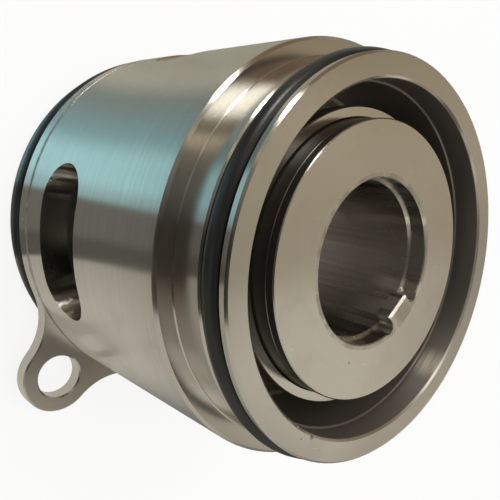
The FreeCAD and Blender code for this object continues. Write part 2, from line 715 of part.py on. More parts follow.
def cover_profile():
    """Half section of the cover, from the register's inner corner and round."""
    register_r = REGISTER_R - FIT
    ring_r = register_r - REGISTER_RING_D + RING_CLEAR
    ring_bottom = PLATE_THICKNESS + REGISTER_GROOVE_Z - REGISTER_GROOVE_WIDTH / 2
    ring_top = ring_bottom + REGISTER_GROOVE_WIDTH
    groove_top = -SPIGOT_LAND
    groove_bottom = groove_top - OUTER_GROOVE_WIDTH
    groove_r = SPIGOT_R - OUTER_GROOVE_DEPTH
    return [
        (POCKET_R, REGISTER_TOP),
        (register_r - FINE_EDGE, REGISTER_TOP),
        (register_r, REGISTER_TOP - FINE_EDGE),
        (register_r, ring_top),
        (ring_r, ring_top),
        (ring_r, ring_bottom),
        (register_r, ring_bottom),
        (register_r, PLATE_THICKNESS),
        (BARREL_R - SEAM_EDGE, PLATE_THICKNESS),
        (BARREL_R, PLATE_THICKNESS - SEAM_EDGE),
        (BARREL_R, EDGE),
        (BARREL_R - EDGE, 0.0),
        (SPIGOT_R, 0.0),
        (SPIGOT_R, groove_top),
        (groove_r, groove_top),
        (groove_r, groove_bottom),
        (SPIGOT_R, groove_bottom),
        (SPIGOT_R, EDGE - SPIGOT_LENGTH),
        (SPIGOT_R - EDGE, -SPIGOT_LENGTH),
        (COVER_RECESS_R, -SPIGOT_LENGTH),
        (COVER_RECESS_R, COVER_RECESS_Z),
        (COVER_BORE_R, COVER_RECESS_Z),
        (COVER_BORE_R, REAR_POCKET_Z),
        (POCKET_R, REAR_POCKET_Z),
    ]


def rear_cover():
    body = turned(cover_profile()).fuse(ear())
    sink_top = SCREW_SINK - SPIGOT_LENGTH
    shank = cylinder(SCREW_R + 2 * RUN, sink_top, PLATE_THICKNESS, SCREW_PLACE_R)
    sink = cylinder(SCREW_HEAD_R + 2 * RUN, -SPIGOT_LENGTH, sink_top, SCREW_PLACE_R)
    screw_hole = sink.fuse(shank)
    holes = pattern(screw_hole, SCREW_COUNT) + [ear_hole(), seat_pin_hole(REAR_POCKET_Z)]
    return body.cut(holes)


def cover_screws():
    """Socket head screws that hold the cover on the flange ring."""
    head_top = SCREW_SINK - SPIGOT_LENGTH
    head_bottom = head_top - SCREW_HEAD_LENGTH
    screw = turned([
        (0.0, head_bottom),
        (SCREW_HEAD_R - FINE_EDGE, head_bottom),
        (SCREW_HEAD_R, head_bottom + FINE_EDGE),
        (SCREW_HEAD_R, head_top),
        (SCREW_R, head_top),
        (SCREW_R, head_top + SCREW_LENGTH - EDGE),
        (SCREW_R - EDGE, head_top + SCREW_LENGTH),
        (0.0, head_top + SCREW_LENGTH),
    ])
    screw = screw.cut(hexagon(SCREW_SOCKET_FLATS, head_bottom, head_bottom + SCREW_SOCKET_DEPTH))
    screw.translate(V(SCREW_PLACE_R, 0, 0))
    return Part.makeCompound(pattern(screw, SCREW_COUNT))


def cover_o_ring():
    section = REGISTER_RING_D - RING_CLEAR - 2 * FIT
    inner = REGISTER_R - REGISTER_RING_D + RING_CLEAR
    return o_ring(inner, section, PLATE_THICKNESS + REGISTER_GROOVE_Z)


def front_o_ring():
    inner = PILOT_R - OUTER_GROOVE_DEPTH + FIT
    return o_ring(inner, OUTER_RING_D, FRONT_GROOVE_TOP - OUTER_GROOVE_WIDTH / 2)


def rear_o_ring():
    inner = SPIGOT_R - OUTER_GROOVE_DEPTH + FIT
    return o_ring(inner, OUTER_RING_D, -SPIGOT_LAND - OUTER_GROOVE_WIDTH / 2)


def retaining_ring():
    """Open ring with two eyes, sprung into the groove at the sleeve's end."""
    bottom = CLIP_TOP - CLIP_THICKNESS
    ring = tube(CLIP_IN_R, CLIP_OUT_R, bottom, CLIP_TOP)
    wedge_r = CLIP_OUT_R + EDGE
    gap = Part.makeCylinder(wedge_r, CLIP_THICKNESS, V(0, 0, bottom), AXIS, 2 * CLIP_GAP_DEG)
    ring = ring.cut(around(gap, -CLIP_GAP_DEG))
    lug = cylinder(CLIP_LUG_R, bottom, CLIP_TOP, CLIP_LUG_PLACE_R)
    eye = cylinder(CLIP_HOLE_R, bottom, CLIP_TOP, CLIP_LUG_PLACE_R)
    sides = (-CLIP_LUG_DEG, CLIP_LUG_DEG)
    ring = ring.fuse([around(lug, side) for side in sides])
    inside = cylinder(CLIP_IN_R, bottom, CLIP_TOP)
    return ring.cut([around(eye, side) for side in sides] + [inside])


NODES = {
    "housing": housing,
    "partition": partition,
    "flange_ring": flange_ring,
    "rear_cover": rear_cover,
    "cover_screws": cover_screws,
    "cover_o_ring": cover_o_ring,
    "front_o_ring": front_o_ring,
    "rear_o_ring": rear_o_ring,
    "front_seat": lambda: seat(FRONT_POCKET_Z),
    "front_seat_o_ring": lambda: seat_ring(FRONT_POCKET_Z),
    "front_seat_pin": lambda: seat_pin(FRONT_POCKET_Z),
    "rear_seat": lambda: seat(REAR_POCKET_Z),
    "rear_seat_o_ring": lambda: seat_ring(REAR_POCKET_Z),
    "rear_seat_pin": lambda: seat_pin(REAR_POCKET_Z),
    "shaft_sleeve": shaft_sleeve,
    "sleeve_o_ring": sleeve_o_ring,
    "head_o_ring": head_o_ring,
    "front_drive_pins": front_drive_pins,
    "wave_spring": wave_spring,
    "front_carrier": front_carrier,
    "front_face_ring": lambda: face_ring(FRONT_FACE_Z),
    "rear_carrier": rear_carrier,
    "rear_carrier_o_ring": rear_carrier_o_ring,
    "rear_face_ring": lambda: face_ring(REAR_FACE_Z),
    "coil_spring": coil_spring,
    "rear_drive_pins": rear_drive_pins,
    "drive_collar": drive_collar,
    "set_screws": set_screws,
    "retaining_ring": retaining_ring,
}


def main():
    os.makedirs("parts", exist_ok=True)
    for name, make in NODES.items():
        shape = make()
        shape.exportStep("parts/" + name + ".step")
        solids = len(shape.Solids)
        print(name, "solids", solids, "volume", round(shape.Volume, 2), "valid", shape.isValid())


main()
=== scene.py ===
# %% [markdown]
# # A cartridge mechanical seal
#
# This seal keeps the liquid in a pump from leaking out along its shaft. It comes as
# one cartridge: a slotted steel barrel that stands still, and a sleeve inside it
# that turns with the shaft. Two pairs of flat rings run on each other in between.
#
# The lesson loads the finished CAD model as a fixed frame. It gives every part a
# procedural finish, builds the parts that CAD keeps plain, and sets up a small
# studio. Everything is in metres, with the seal's axis on Z and its front face up.

import math

import bmesh
import bpy
import numpy as np
from mathutils import Matrix, Vector


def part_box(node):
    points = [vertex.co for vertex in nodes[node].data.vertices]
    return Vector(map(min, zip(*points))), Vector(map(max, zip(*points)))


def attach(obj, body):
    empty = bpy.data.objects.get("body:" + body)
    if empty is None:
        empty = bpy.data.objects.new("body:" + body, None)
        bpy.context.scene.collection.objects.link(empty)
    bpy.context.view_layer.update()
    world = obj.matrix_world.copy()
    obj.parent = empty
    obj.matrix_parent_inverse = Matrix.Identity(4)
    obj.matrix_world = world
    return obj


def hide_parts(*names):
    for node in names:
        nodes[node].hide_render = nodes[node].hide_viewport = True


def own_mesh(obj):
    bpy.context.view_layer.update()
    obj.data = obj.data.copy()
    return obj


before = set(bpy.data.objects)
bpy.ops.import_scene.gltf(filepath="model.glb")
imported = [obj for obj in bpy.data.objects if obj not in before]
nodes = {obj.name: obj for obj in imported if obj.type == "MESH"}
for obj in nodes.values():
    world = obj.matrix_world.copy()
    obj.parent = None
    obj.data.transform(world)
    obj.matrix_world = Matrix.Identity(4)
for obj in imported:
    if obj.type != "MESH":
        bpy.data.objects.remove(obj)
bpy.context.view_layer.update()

# %% [markdown]
# ## Sizes that the finishes need
#
# A turned part shows where each cut started and stopped. The finishes change at
# those places, so the main radii and heights are measured on the model itself. Only
# the widths of the barrel's shoulder and of its rim are written down as numbers.

# %% Measure the main places
MM = 0.001
SHOULDER_WIDTH = 4.1 * MM
RIM_WIDTH = 5.3 * MM


def outer_radius(name):
    """Largest Y of a node, which is its radius, as the ear sticks out along X alone."""
    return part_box(name)[1].y


def top(name):
    """Height of a node's upper end."""
    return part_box(name)[1].z


def bottom(name):
    """Height of a node's lower end."""
    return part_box(name)[0].z


barrel_r = outer_radius("housing")
front_z = top("housing")
opening_r = barrel_r - SHOULDER_WIDTH - RIM_WIDTH
head_r = outer_radius("shaft_sleeve")
head_top_z = top("shaft_sleeve")
floor_z = bottom("rear_cover")
rear_z = bottom("housing")
print("barrel radius", round(barrel_r, 5), "front", round(front_z, 5), "floor", round(floor_z, 5))

# %% [markdown]
# ## Sums on sockets
#
# A material is a graph of nodes, and a pattern needs many small sums. Placing each
# Math node by hand hides what the sum says. So one small class wraps an output
# socket and takes over Python's operators: `1 - mask` then adds the node by itself.
# The reflected forms, such as `__rsub__`, are the ones that run when the number
# stands on the left.

# %% A value that can be used in sums


class Value:
    """One output socket of a finish; operators on it add Math nodes."""

    def __init__(self, finish, socket):
        self.finish = finish
        self.socket = socket

    def math(self, operation, *numbers):
        """Add a Math node that takes these values or numbers in order."""
        return self.finish.node("Math", {"operation": operation}, dict(enumerate(numbers)))

    def __add__(self, other):
        return self.math("ADD", self, other)

    def __sub__(self, other):
        return self.math("SUBTRACT", self, other)

    def __rsub__(self, other):
        return self.math("SUBTRACT", other, self)

    def __mul__(self, other):
        return self.math("MULTIPLY", self, other)

    def __truediv__(self, other):
        return self.math("DIVIDE", self, other)

    __radd__ = __add__
    __rmul__ = __mul__

    def root(self):
        return self.math("SQRT", self)

    def angle(self, other):
        """Angle of the point (other, self) about the origin, in radians."""
        return self.math("ARCTAN2", self, other)

    def larger(self, other):
        return self.math("MAXIMUM", self, other)

    def smaller(self, other):
        return self.math("MINIMUM", self, other)

    def step(self, start, end):
        """Smooth rise from 0 at start to 1 at end; end may be the lower of the two."""
        inputs = {"Value": self, "From Min": start, "From Max": end}
        return self.finish.node("MapRange", {"interpolation_type": "SMOOTHSTEP"}, inputs)


print("values know", sum(callable(part) for part in vars(Value).values()), "methods and operators")

# %% [markdown]
# ## A finish in the making
#
# The next class holds one material while it is built. Its `node` method adds any
# node: the settings come first, because some of them change which sockets there
# are, and then the sockets get their numbers or links. Every finish starts from the
# object coordinates, split into X, Y and Z, and from the distance to the axis.

# %% The finish class


class Finish:
    """A material, its shader, and the helpers that add nodes to it."""

    def __init__(self, name, **fixed):
        self.material = bpy.data.materials.new(name)
        self.material.use_nodes = True
        self.tree = self.material.node_tree
        self.shader = self.tree.nodes["Principled BSDF"]
        self.set(**fixed)
        self.place = self.node("TexCoord", output="Object")
        self.x, self.y, self.z = self.node("SeparateXYZ", {}, {0: self.place}, output=(0, 1, 2))
        self.radius = (self.x * self.x + self.y * self.y).root()

    def node(self, kind, settings=None, inputs=None, output=0):
        """Add a node; returns the named output, or a list for several names."""
        made = self.tree.nodes.new("ShaderNode" + kind)
        for key, value in (settings or {}).items():
            setattr(made, key, value)
        for key, value in (inputs or {}).items():
            self.feed(made.inputs[key], value)
        if isinstance(output, tuple):
            return [Value(self, made.outputs[one]) for one in output]
        return Value(self, made.outputs[output])

    def feed(self, socket, value):
        """Link a value to a socket, or set a plain number or colour on it."""
        if isinstance(value, Value):
            self.tree.links.new(value.socket, socket)
        elif socket.type == "RGBA" and len(value) == 3:
            socket.default_value = (*value, 1.0)
        else:
            socket.default_value = value

    def set(self, **values):
        """Set the shader's own sockets; an underscore stands for a space."""
        for name, value in values.items():
            self.feed(self.shader.inputs[name.replace("_", " ")], value)
        return self

    def mix(self, factor, low, high):
        """Colour that goes from low to high as the factor goes from 0 to 1."""
        inputs = {0: factor, 6: low, 7: high}
        return self.node("Mix", {"data_type": "RGBA"}, inputs, output=2)

    def vector(self, x, y, z):
        return self.node("CombineXYZ", {}, {0: x, 1: y, 2: z})

    def noise(self, vector, scale=1.0, detail=2.0, roughness=0.5):
        """Soft noise from 0 to 1, mostly near 0.5; 1 / scale is the size of a patch."""
        inputs = {"Vector": vector, "Scale": scale, "Detail": detail, "Roughness": roughness}
        return self.node("TexNoise", {}, inputs)

    def bump(self, height, depth):
        """Normal of a surface whose height changes by depth metres."""
        return self.node("Bump", {}, {"Height": height, "Distance": depth})


print("finish class ready")

# %% [markdown]
# ## The lines of a lathe
#
# A lathe tool leaves fine lines that run round the axis, on cylinders and on end
# faces alike. On a cylinder they change with height, on an end face with radius.
# One coordinate does both: the radius plus the height times a factor. Noise that is
# very short along this coordinate and long in X and Y draws lines round the axis.
# The factor isn't 1, because then a 45 degree chamfer would get no lines at all.

# %% Lines round the axis
HEIGHT_FACTOR = 1.37


def lathe_lines(finish, length, width, detail=2.0, lean=0.0):
    """Noise stretched round the axis: lines of that length and width, in metres.

    The noise is read at x / length, y / length and (radius + 1.37 z + lean (x + y))
    / width. A small lean tilts the lines, as hand polishing with emery cloth does.
    """
    across = finish.radius + finish.z * HEIGHT_FACTOR
    if lean:
        across = across + finish.x * lean + finish.y * lean
    streaks = finish.vector(finish.x / length, finish.y / length, across / width)
    return finish.noise(streaks, detail=detail, roughness=0.6)


def handling_marks(finish):
    """Soft blotches of 10 to 20 mm, as thumbs and rags leave them: 0 clean, 1 marked."""
    blotch = finish.noise(finish.place, scale=85.0, detail=4.0, roughness=0.65)
    return blotch.step(0.52, 0.68)


def specks(finish, cell, size, share):
    """Tiny dots in cells of that width: a dot where the cell's own number is high."""
    inputs = {"Vector": finish.place, "Scale": 1.0 / cell}
    distance, colour = finish.node("TexVoronoi", {}, inputs, output=("Distance", "Color"))
    number = finish.node("SeparateColor", {}, {0: colour})
    return distance.step(size, size * 0.6) * number.step(1 - share, 1 - share + 0.01)


print("lathe lines ready")

# %% [markdown]
# ## Turned stainless steel
#
# Bare steel has no colour of its own: it shows the room, tinted a little warm, and
# blurred by its lines. So the base colour hardly changes, and the work goes into
# the roughness and the bump. Where a tone does change, it is a stain, a darker joint,
# painted shade or a painted highlight. First come the tones, and two ways to say where
# on the seal a thing is: near one place, or on a strip along the axis.

# %% Tones of steel, and places on it
WARM_STEEL = (0.665, 0.64, 0.60)
DULL_STEEL = (0.60, 0.572, 0.53)
HONED_STEEL = (0.40, 0.37, 0.33)
# A bright tone for highlights painted at rims, on a rougher place.
FRESH_STEEL = (0.86, 0.78, 0.67)
# A bright tone for highlights painted on the bore.
BRIGHT_STEEL = (0.95, 0.91, 0.84)
STAIN = (0.16, 0.13, 0.11)
DOT = (0.12, 0.10, 0.08)


def near(steel, angle, radius, z, inner, outer):
    """1 within the inner distance of a place on the seal, 0 beyond the outer one."""
    a = math.radians(angle)
    place = (radius * math.cos(a), radius * math.sin(a), z)
    ends = {0: steel.place, 1: place}
    away = steel.node("VectorMath", {"operation": "DISTANCE"}, ends, "Value")
    return away.step(outer, inner)


def strip(steel, angle, inner, outer):
    """1 within the inner number of degrees of an angle round the axis, 0 beyond the outer."""
    a = math.radians(angle)
    along = (steel.x * math.cos(a) + steel.y * math.sin(a)) / steel.radius
    return along.step(math.cos(math.radians(outer)), math.cos(math.radians(inner)))


print("steel mirrors", WARM_STEEL, "of the light, stains", STAIN)

# %% [markdown]
# ## Lines that a lathe doesn't make
#
# The sleeve's bore is honed, by stones that move along the axis, and that leaves
# long streaks. The windows are cut by an end mill, which leaves short lines on their
# walls that point to the axis. Both patterns are the same at any radius, so their
# noise is read at the direction from the axis and the height, not at the place.

# %% Honed streaks and milled lines
MILL_PITCH = 0.7 * MM


def by_direction(steel, turns, height):
    """The point (turns x / radius, turns y / radius, height), for noise to be read at."""
    return steel.vector(steel.x / steel.radius * turns, steel.y / steel.radius * turns, height)


def honed_streaks(steel):
    """Streaks a sixth of a radian wide or less, each of them longer than the bore."""
    way = by_direction(steel, 6.0, steel.z * 2.0)
    return steel.noise(way, detail=2.5, roughness=0.5).step(0.32, 0.66)


def milled_lines(steel):
    """Noise as fine round the barrel as it is in height: one patch a pitch."""
    return steel.noise(by_direction(steel, barrel_r / MILL_PITCH, steel.z / MILL_PITCH))


print("milled lines", round(barrel_r / MILL_PITCH), "a radian")

# %% [markdown]
# ## One recipe for turned steel
#
# Each turned part gets masks, which are functions that return 0 to 1 over its
# surface. The main two say where it was polished less, which raises the roughness,
# and where emery cloth was held against it, which adds deep lines round the axis and
# a few crossed ones. The others are there for one place each.

# %% The recipe


def turned_steel(
    name,
    polished=0.12,
    satin=0.2,
    satin_at=None,
    lined_at=None,
    dark_at=None,
    honed_at=None,
    bright_at=None,
    rubbed_at=None,
    milled_at=None,
    depth=1.6e-6,
    across=0.0,
    oiled=(0.25, 0.225, 0.195),
    stains=(),
):
    """Steel that is polished where satin_at is 0 and lined where lined_at is 1.

    dark_at is 1 where shade is painted into the colour, in recesses and under parts,
    and where a joint is darker; the dark tone is the colour of both.
    honed_at is 1 where the tool moved along the axis and left long streaks.
    The bore glint mask is 1 where highlights are painted on the honed bore.
    The glint mask is 1 where a highlight is painted in a bright tone, on a rougher place.
    milled_at is 1 on walls cut by an end mill, whose lines point to the axis.
    depth is the depth of the lines in metres, and each stain is a place for near().

    Lines that run round the axis smear a reflection across themselves. That is the
    anisotropy, called across here and turned by a quarter, as Cycles smears along
    the circle at 0.
    """
    steel = Finish(name, Metallic=1.0, Anisotropic=across, Anisotropic_Rotation=0.25)
    share = satin_at(steel) if satin_at else 0.5
    lined = lined_at(steel) if lined_at else 0.3
    dark = dark_at(steel) if dark_at else 0.0
    fine = lathe_lines(steel, 16 * MM, 0.34 * MM)
    wide = lathe_lines(steel, 45 * MM, 1.1 * MM, detail=3.0)
    crossed = lathe_lines(steel, 10 * MM, 0.42 * MM, lean=0.18)
    marks = handling_marks(steel)
    dots = specks(steel, 9 * MM, 0.03, 0.08)
    rough = (satin - polished) * share + polished
    rough = rough + ((fine - 0.5) * 0.10 + (wide - 0.5) * 0.06) * lined
    rough = rough + marks * 0.03 + dots * 0.2
    toned = steel.mix(wide.step(0.3, 0.7) * (lined * 0.35 + 0.12), WARM_STEEL, DULL_STEEL)
    toned = steel.mix(marks * 0.22, toned, DULL_STEEL)
    toned = steel.mix(dots * 0.7, toned, DOT)
    if honed_at:
        honed = honed_at(steel)
        streak = honed_streaks(steel)
        cleaner = steel.z.step(head_top_z - 20 * MM, head_top_z - 6 * MM) * 0.35
        toned = steel.mix(streak * honed * (0.85 - cleaner), toned, HONED_STEEL)
        # Painted highlights: bright strips on the honed bore.
        toned = steel.mix(bright_at(steel) * honed, toned, BRIGHT_STEEL)
        rough = rough + honed * (streak * 0.16 + 0.04)
    for mark in stains:
        toned = steel.mix(near(steel, *mark) * 0.8, toned, STAIN)
    # Painted shade: a dark tone and a lower metallic darken the masked places; a darker joint takes the
    # same tone.
    if dark_at:
        toned = steel.mix(dark, toned, oiled)
        rough = rough + dark * 0.14
        lined = lined * (1 - dark * 0.7)
        steel.set(Metallic=1 - dark * 0.25)
    # Painted highlight: a bright tone, on a place made rougher.
    if rubbed_at:
        rubbed = rubbed_at(steel)
        toned = steel.mix(rubbed * fine.step(0.3, 0.55), toned, FRESH_STEEL)
        rough = rough + rubbed * 0.25
    wavy = steel.noise(steel.place, scale=170.0, detail=2.0)
    height = (fine * 0.5 + wide * 0.3 + crossed * 0.5 + wavy * 6.0) * lined
    if milled_at:
        milled = milled_at(steel)
        height = height * (1 - milled) + milled_lines(steel) * milled
    return steel.set(Base_Color=toned, Roughness=rough, Normal=steel.bump(height, depth))


print("recipe ready")

# %% [markdown]
# ## Where a finish changes
#
# A mask is a product of steps: a step of the radius picks a cylinder, and a step of
# the height picks a band on it. The larger of two masks is their union. The barrel,
# the rear plate and the sleeve show from outside, so each gets masks of its own.

# %% Masks for the barrel


def outside(steel):
    """1 on the barrel's outside, from just below its surface."""
    return steel.radius.step(barrel_r - 0.45 * MM, barrel_r - 0.2 * MM)


def on_barrel(steel):
    """1 on the barrel's outside, a little on everything else."""
    return outside(steel) * 0.9 + 0.1


def not_on_pilot(steel):
    """1 on the barrel's outside and the front face, less on the pilot and shoulder.

    The pilot was polished on one side only: its far side, at high Y, stayed satin,
    and it is given more than 1, so that it gets rougher still.
    """
    front = steel.z.step(front_z - 0.3 * MM, front_z - 0.1 * MM)
    satin_side = steel.y.step(12 * MM, 30 * MM) * 6.0
    return outside(steel).larger(front).larger(satin_side)


def outer_band(steel):
    """1 from 1 mm below the barrel's surface outwards."""
    return steel.radius.step(barrel_r - 1.2 * MM, barrel_r - 0.9 * MM)


def at_seam(steel):
    """1 on the band at the joint between barrel and rear plate, which has a coarse cut."""
    below = steel.z.step(rear_z + 1.3 * MM, rear_z + 0.7 * MM)
    above = steel.z.step(rear_z - 1.4 * MM, rear_z - 0.8 * MM)
    ring = outer_band(steel) * steel.radius.step(barrel_r + 0.3 * MM, barrel_r + 0.2 * MM)
    patchy = steel.noise(steel.place, scale=420.0, detail=3.0).step(0.35, 0.6)
    return below * above * ring * (patchy * 0.5 + 0.5)


def in_opening(steel):
    """1 on the walls inside the front opening, 0 on the rim and its chamfer."""
    inside = steel.radius.step(opening_r + 0.15 * MM, opening_r + 0.05 * MM)
    return inside * steel.z.step(front_z - 28 * MM, front_z - 26 * MM)


def in_window(steel):
    """1 on the walls of the four milled windows, the only such walls at that height."""
    wall = steel.radius.step(barrel_r - 0.05 * MM, barrel_r - 0.2 * MM)
    above = steel.z.step(rear_z + 0.5 * MM, rear_z + 0.8 * MM)
    below = steel.z.step(front_z - 28 * MM, front_z - 30 * MM)
    return wall * above * below


def filed_place(steel):
    """A painted highlight inside the rim, low on the right as the camera sees it."""
    burr = near(steel, 86, opening_r, front_z - 2.8 * MM, 0.5 * MM, 5.5 * MM)
    return burr * in_opening(steel) * 0.8


def opening_or_seam(steel):
    """Where the barrel gets a darker tone: painted shade over all of the opening, and a darker joint at
    half strength at the seam.
    """
    return in_opening(steel).larger(at_seam(steel) * 0.5)


print("barrel's opening from radius", round(opening_r, 5))

# %% Masks for the rear plate


def scraped_seam(steel):
    """Painted highlights in patches on the rear plate's rim, on the side of the window light."""
    patchy = steel.noise(steel.place, scale=520.0, detail=3.0).step(0.40, 0.62)
    scraped = near(steel, 262, barrel_r, rear_z - 1.0 * MM, 3 * MM, 15 * MM)
    return scraped * patchy * outer_band(steel)


def on_lip(steel):
    """1 on the narrow lip behind the rear rubber ring, which is given painted shade."""
    return steel.z.step(floor_z + 2.6 * MM, floor_z + 2.4 * MM) * steel.radius.step(30 * MM, 35 * MM)


def lip_or_seam(steel):
    """Where the rear plate gets a darker tone: painted shade on the lip, and a darker joint at half
    strength at the seam.
    """
    return on_lip(steel).larger(at_seam(steel) * 0.5)


print("lip up to height", round(floor_z + 2.6 * MM, 5))

# %% Masks for the sleeve


def on_head(steel):
    """1 on the sleeve's front face, 0 on its sides and in its bore."""
    return steel.z.step(head_top_z - 0.2 * MM, head_top_z - 0.05 * MM)


def in_bore(steel):
    """1 on the walls of the bore and its mouth and at the face's inner edge, 0 further out."""
    return steel.radius.step(head_r - 11 * MM, head_r - 11.2 * MM)


def shaft_rubs(steel):
    """1 on two strips of the bore, near its front end, where highlights are painted."""
    narrow = strip(steel, 160, 1.0, 4.5) * steel.z.step(head_top_z - 20 * MM, head_top_z - 5 * MM)
    wide = strip(steel, 108, 2.0, 7.0) * steel.z.step(head_top_z - 14 * MM, head_top_z - 7 * MM)
    return narrow.larger(wide)


def on_sides(steel):
    """Lathe lines on the sleeve's sides, next to none on its face, none in its bore."""
    return 0.35 - on_head(steel) * 0.27 - in_bore(steel) * (1 - on_head(steel)) * 0.35


def beside_head(steel):
    """1 on the outside of the sleeve's head and on its tube below, which get painted shade; 0 on its
    face, its edge and in its bore.
    """
    head_side = steel.radius.step(head_r - 0.12 * MM, head_r - 0.04 * MM)
    tube_side = steel.z.step(head_top_z - 9 * MM, head_top_z - 10 * MM) * (1 - in_bore(steel))
    return head_side.larger(tube_side)


print("sleeve's head from", round(head_top_z - 10 * MM, 5), "to", round(head_top_z, 5))

# %% [markdown]
# ## The turned finishes
#
# The barrel and the sleeve show most and get the most masks. The small marks on
# their front faces are stains, each given by its angle, radius, height, and inner
# and outer size. The inner rings hardly show, so a plain rougher steel does for them.

# %% Steel for every turned part
FACE_STAINS = (
    (13.2, 38.64 * MM, front_z, 0.1 * MM, 0.9 * MM),
    (9.0, 39.9 * MM, front_z, 0.05 * MM, 0.3 * MM),
)
HEAD_STAINS = ((26.0, 22.22 * MM, head_top_z, 0.1 * MM, 0.34 * MM),)

barrel_steel = turned_steel(
    "barrel_steel",
    0.16,
    0.20,
    satin_at=not_on_pilot,
    lined_at=on_barrel,
    dark_at=opening_or_seam,
    rubbed_at=filed_place,
    milled_at=in_window,
    across=0.7,
    stains=FACE_STAINS,
)
sleeve_steel = turned_steel(
    "sleeve_steel",
    0.15,
    0.20,
    satin_at=on_head,
    lined_at=on_sides,
    dark_at=beside_head,
    honed_at=in_bore,
    bright_at=shaft_rubs,
    across=0.6,
    # Tone of the painted shade on the sides of the sleeve's head.
    oiled=(0.11, 0.10, 0.09),
    stains=HEAD_STAINS,
)
cover_steel = turned_steel(
    "cover_steel",
    0.17,
    0.22,
    dark_at=lip_or_seam,
    rubbed_at=scraped_seam,
    # Tone of the painted shade on the lip and of the darker seam.
    oiled=(0.17, 0.165, 0.155),
)
carrier_steel = turned_steel("carrier_steel", 0.14, 0.20)
inner_steel = turned_steel("inner_steel", 0.22, 0.26, depth=2.4e-6)
print("turned steel:", [m.name for m in bpy.data.materials if "steel" in m.name])

# %% [markdown]
# ## Drawn and ground steel
#
# Springs are drawn through a die, which leaves lines along the wire, and pins and
# screws are ground or rolled. These are small, so a fine grain in all directions
# with a few darker spots is enough. The screws are a little darker and rougher,
# because they are pickled after rolling.

# %% Spring, pin and screw steel
SPOT_SHADE = 0.62


def small_steel(name, tone, roughness, grain):
    """Metal with an even grain: noise of that size in the roughness and the bump."""
    steel = Finish(name, Metallic=1.0)
    fine = steel.noise(steel.place, scale=1 / grain, detail=3.0)
    cloud = steel.noise(steel.place, scale=160.0, detail=2.0)
    dark = tuple(SPOT_SHADE * part for part in tone)
    toned = steel.mix(cloud.step(0.35, 0.75) * 0.6, tone, dark)
    rough = roughness + (fine - 0.5) * 0.18 + (cloud - 0.5) * 0.12
    return steel.set(Base_Color=toned, Roughness=rough, Normal=steel.bump(fine, 2e-6))


spring_steel = small_steel("spring_steel", (0.56, 0.54, 0.50), 0.30, 0.35 * MM)
pin_steel = small_steel("pin_steel", (0.62, 0.60, 0.56), 0.22, 0.25 * MM)
screw_steel = small_steel("screw_steel", (0.50, 0.49, 0.47), 0.34, 0.4 * MM)
print("small steel finishes ready")

# %% [markdown]
# ## Rubber rings
#
# The round section rings are moulded in black fluorocarbon rubber. It is nearly
# black, yet it isn't flat: the mould gives it a faint grain, and oil leaves a soft
# sheen that is stronger in some places than in others.

# %% Moulded rubber


def moulded_rubber():
    """Near black, with a grain a quarter of a millimetre wide and films of oil."""
    rubber = Finish("moulded_rubber", Metallic=0.0, Specular_IOR_Level=0.5)
    grain = rubber.noise(rubber.place, scale=4200.0, detail=2.0)
    film = rubber.noise(rubber.place, scale=70.0, detail=3.0).step(0.35, 0.7)
    toned = rubber.mix(film, (0.007, 0.0075, 0.0075), (0.014, 0.015, 0.015))
    rough = 0.34 - film * 0.05 + (grain - 0.5) * 0.06
    return rubber.set(Base_Color=toned, Roughness=rough, Normal=rubber.bump(grain, 1.2e-6))


rubber = moulded_rubber()
print("finish", rubber.material.name)

# %% [markdown]
# ## Silicon carbide
#
# The four rings that run on each other are sintered silicon carbide, a dark grey
# ceramic. It is lapped flat to a dull mirror on the faces and left matt on the
# sides. Under the gloss it is full of tiny bright and dark grains.

# %% Sintered carbide


def sintered_carbide():
    """Dark grey, each cell of a Voronoi pattern in its own shade, as grains are."""
    carbide = Finish("sintered_carbide", Metallic=0.0, Specular_IOR_Level=0.7)
    inputs = {"Vector": carbide.place, "Scale": 3600.0}
    grain = carbide.node("TexVoronoi", {}, inputs, output="Color")
    grain = carbide.node("SeparateColor", {}, {0: grain})
    cloud = carbide.noise(carbide.place, scale=220.0, detail=3.0)
    toned = carbide.mix(grain * 0.7 + cloud * 0.3, (0.030, 0.031, 0.033), (0.085, 0.087, 0.092))
    rough = 0.26 + cloud * 0.14 + (grain - 0.5) * 0.08
    normal = carbide.bump(lathe_lines(carbide, 8 * MM, 0.2 * MM), 1.2e-6)
    return carbide.set(Base_Color=toned, Roughness=rough, Normal=normal)


carbide = sintered_carbide()
print("rubber and carbide ready")

# %% [markdown]
# ## Give every CAD part its finish
#
# The CAD parts keep their shapes, so only their material changes. What isn't listed
# is a rubber ring. A part whose shape is simplified in CAD is replaced by a new piece
# further down.

# %% Assign the finishes
WEARERS = [
    (barrel_steel, ["housing"]),
    (cover_steel, ["rear_cover"]),
    (sleeve_steel, ["shaft_sleeve"]),
    (inner_steel, ["partition", "flange_ring", "drive_collar"]),
    (carrier_steel, ["front_carrier", "rear_carrier"]),
    (spring_steel, ["retaining_ring", "wave_spring", "coil_spring"]),
    (pin_steel, ["front_seat_pin", "rear_seat_pin", "front_drive_pins", "rear_drive_pins"]),
    (screw_steel, ["cover_screws", "set_screws"]),
    (carbide, ["front_seat", "rear_seat", "front_face_ring", "rear_face_ring"]),
]
FINISH_OF = {name: finish for finish, names in WEARERS for name in names}


def dress(piece, finish):
    """Put one finish on the whole piece."""
    piece.data.materials.clear()
    piece.data.materials.append(finish.material)


for name, node in nodes.items():
    dress(node, FINISH_OF.get(name, rubber))
print("dressed", len(nodes), "nodes")

# %% [markdown]
# ## Surfaces on a grid
#
# Each new piece is a grid of points that numpy works out in one go: one direction
# of the grid runs along a profile, the other round it. Neighbouring points make
# the quads. Where a grid closes on itself, its last row joins the first. Where it
# ends in a row of radius 0, that row's points are merged into one. A last test takes
# the mesh's signed volume: if it is negative, the faces point inwards and are turned.

